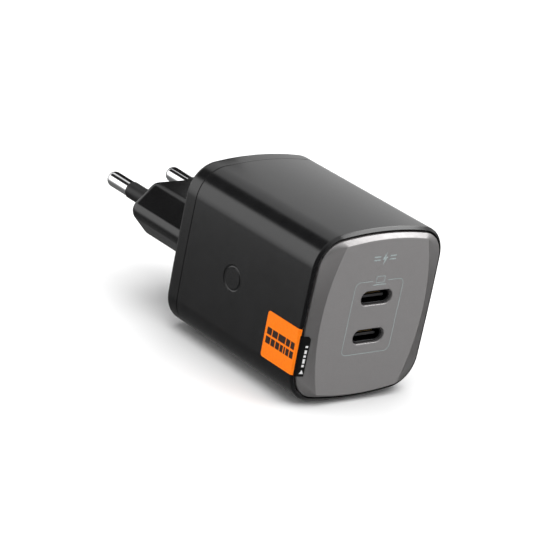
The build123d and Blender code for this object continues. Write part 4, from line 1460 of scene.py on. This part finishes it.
class CHARGER_OT_stage(bpy.types.Operator):
    """Set up the pale floor, the soft light and the camera"""

    bl_idname = "charger.stage"
    bl_label = "Stage"

    def execute(self, context):
        stage = context.scene.charger_stage
        self.floor(stage)
        self.card()
        self.sky(context, stage)
        for light in LIGHTS:
            softbox(*light)
        self.camera(context, stage)
        context.scene.view_settings.view_transform = "Standard"
        return {"FINISHED"}

    def floor(self, stage):
        """A plain pale floor, under the charger's lowest point."""
        deselect()
        bpy.ops.mesh.primitive_plane_add(size=stage.floor_size, location=(0.0, 0.0, shell_low.z))
        floor = named("floor")
        finish = Finish("Floor paper", roughness=0.9, specular=0.1)
        tooth = finish.noise(40.0)
        finish.paint(finish.ramp(tooth, ((0.3, (0.88, 0.88, 0.88)), (0.7, (0.9, 0.9, 0.9)))))
        floor.data.materials.append(finish.material)
        floor.visible_glossy = False

    def card(self):
        """A small black card beside the pins, seen only in their reflections."""
        deselect()
        bpy.ops.mesh.primitive_plane_add(
            size=1.0, location=CARD_PLACE, rotation=(math.pi / 2, 0.0, 0.0)
        )
        bpy.ops.transform.resize(value=(CARD_WIDTH, 1.0, CARD_HEIGHT))
        card = named("card")
        finish = Finish("Card paper", roughness=0.9, specular=0.0)
        finish.paint(finish.ramp(finish.noise(60.0), ((0.3, (0.01,) * 3), (0.7, (0.014,) * 3))))
        card.data.materials.append(finish.material)
        card.visible_camera = card.visible_diffuse = card.visible_shadow = False

    def sky(self, context, stage):
        """Surroundings that are darker below, with two bright fills and three dark flags."""
        world = bpy.data.worlds.new("Studio")
        context.scene.world = world
        world.use_nodes = True
        tree = world.node_tree
        direction = tree.nodes.new("ShaderNodeTexCoord").outputs["Generated"]

        def facing(aim_at, start, end, brightness):
            """Factor that runs from one to a brightness towards a direction."""
            dot = tree.nodes.new("ShaderNodeVectorMath")
            dot.operation = "DOT_PRODUCT"
            tree.links.new(direction, dot.inputs[0])
            dot.inputs[1].default_value = Vector(aim_at).normalized()
            step = tree.nodes.new("ShaderNodeMapRange")
            step.interpolation_type = "SMOOTHSTEP"
            sockets = ("From Min", "From Max", "To Min", "To Max")
            for socket, value in zip(sockets, (start, end, 1.0, brightness)):
                step.inputs[socket].default_value = value
            tree.links.new(dot.outputs["Value"], step.inputs["Value"])
            return step.outputs["Result"]

        height = tree.nodes.new("ShaderNodeMapRange")
        height.inputs["From Min"].default_value = -1.0
        separate = tree.nodes.new("ShaderNodeSeparateXYZ")
        tree.links.new(direction, separate.inputs["Vector"])
        tree.links.new(separate.outputs["Z"], height.inputs["Value"])
        ramp = tree.nodes.new("ShaderNodeValToRGB")
        tree.links.new(height.outputs["Result"], ramp.inputs["Fac"])
        low, high, below = stage.sky_low, stage.sky_high, stage.sky_below
        stops = (
            (-0.8, below / 2),
            (-0.5, below / 2),
            (-0.35, below),
            (-0.12, 0.8 * low),
            (0.0, low),
            (0.8, high),
        )
        elements = ramp.color_ramp.elements
        for index, (up, shade_level) in enumerate(stops):
            element = elements[index] if index < 2 else elements.new((up + 1) / 2)
            element.position = (up + 1) / 2
            element.color = (shade_level, shade_level, shade_level, 1.0)
        level = ramp.outputs["Color"]
        for part in SKY_PARTS:
            product = tree.nodes.new("ShaderNodeMath")
            product.operation = "MULTIPLY"
            tree.links.new(level, product.inputs[0])
            tree.links.new(facing(*part), product.inputs[1])
            level = product.outputs["Value"]
        background = tree.nodes["Background"]
        background.inputs["Color"].default_value = (1.0, 1.0, 1.0, 1.0)
        tree.links.new(level, background.inputs["Strength"])

    def camera(self, context, stage):
        """A long lens, rolled a little."""
        bpy.ops.object.camera_add()
        camera = context.object
        camera.name = camera.data.name = "camera"
        facing = Euler((math.pi / 2 - stage.elevation, 0.0, stage.azimuth)).to_quaternion()
        turned = facing @ Quaternion((0.0, 0.0, 1.0), stage.roll)
        camera.rotation_euler = turned.to_euler()
        camera.location = Vector(stage.target) + turned @ Vector((0.0, 0.0, stage.distance))
        camera.data.lens = stage.lens
        camera.data.sensor_width = 36.0
        camera.data.clip_end = 50.0
        context.scene.camera = camera


# ---------------------------------------------------------------- panel and registration


STEPS = (
    CHARGER_OT_shell,
    CHARGER_OT_cover,
    CHARGER_OT_panel,
    CHARGER_OT_pins,
    CHARGER_OT_ports,
    CHARGER_OT_label,
    CHARGER_OT_print,
    CHARGER_OT_boards,
    CHARGER_OT_transformer,
    CHARGER_OT_filter,
    CHARGER_OT_capacitors,
    CHARGER_OT_linings,
    CHARGER_OT_stage,
)


class CHARGER_PT_steps(bpy.types.Panel):
    """Buttons for the charger's pieces and its stage"""

    bl_idname = "CHARGER_PT_steps"
    bl_label = "USB wall charger"
    bl_space_type = "VIEW_3D"
    bl_region_type = "UI"
    bl_category = "Charger"

    def draw(self, context):
        for step in STEPS:
            self.layout.operator(step.bl_idname)
        for group in ("charger_sizes", "charger_colours", "charger_stage"):
            settings = getattr(context.scene, group)
            box = self.layout.box()
            for key in settings.__annotations__:
                box.prop(settings, key)


GROUPS = {
    "charger_sizes": ChargerSizes,
    "charger_colours": ChargerColours,
    "charger_stage": StageSettings,
}


def register():
    for name, group in GROUPS.items():
        bpy.utils.register_class(group)
        setattr(bpy.types.Scene, name, bpy.props.PointerProperty(type=group))
    for step in STEPS:
        bpy.utils.register_class(step)
    bpy.utils.register_class(CHARGER_PT_steps)


def unregister():
    bpy.utils.unregister_class(CHARGER_PT_steps)
    for step in reversed(STEPS):
        bpy.utils.unregister_class(step)
    for name, group in GROUPS.items():
        delattr(bpy.types.Scene, name)
        bpy.utils.unregister_class(group)


def main():
    """Build everything in order."""
    register()
    for step in STEPS:
        family, action = step.bl_idname.split(".")
        getattr(getattr(bpy.ops, family), action)()


if __name__ == "__main__":
    main()
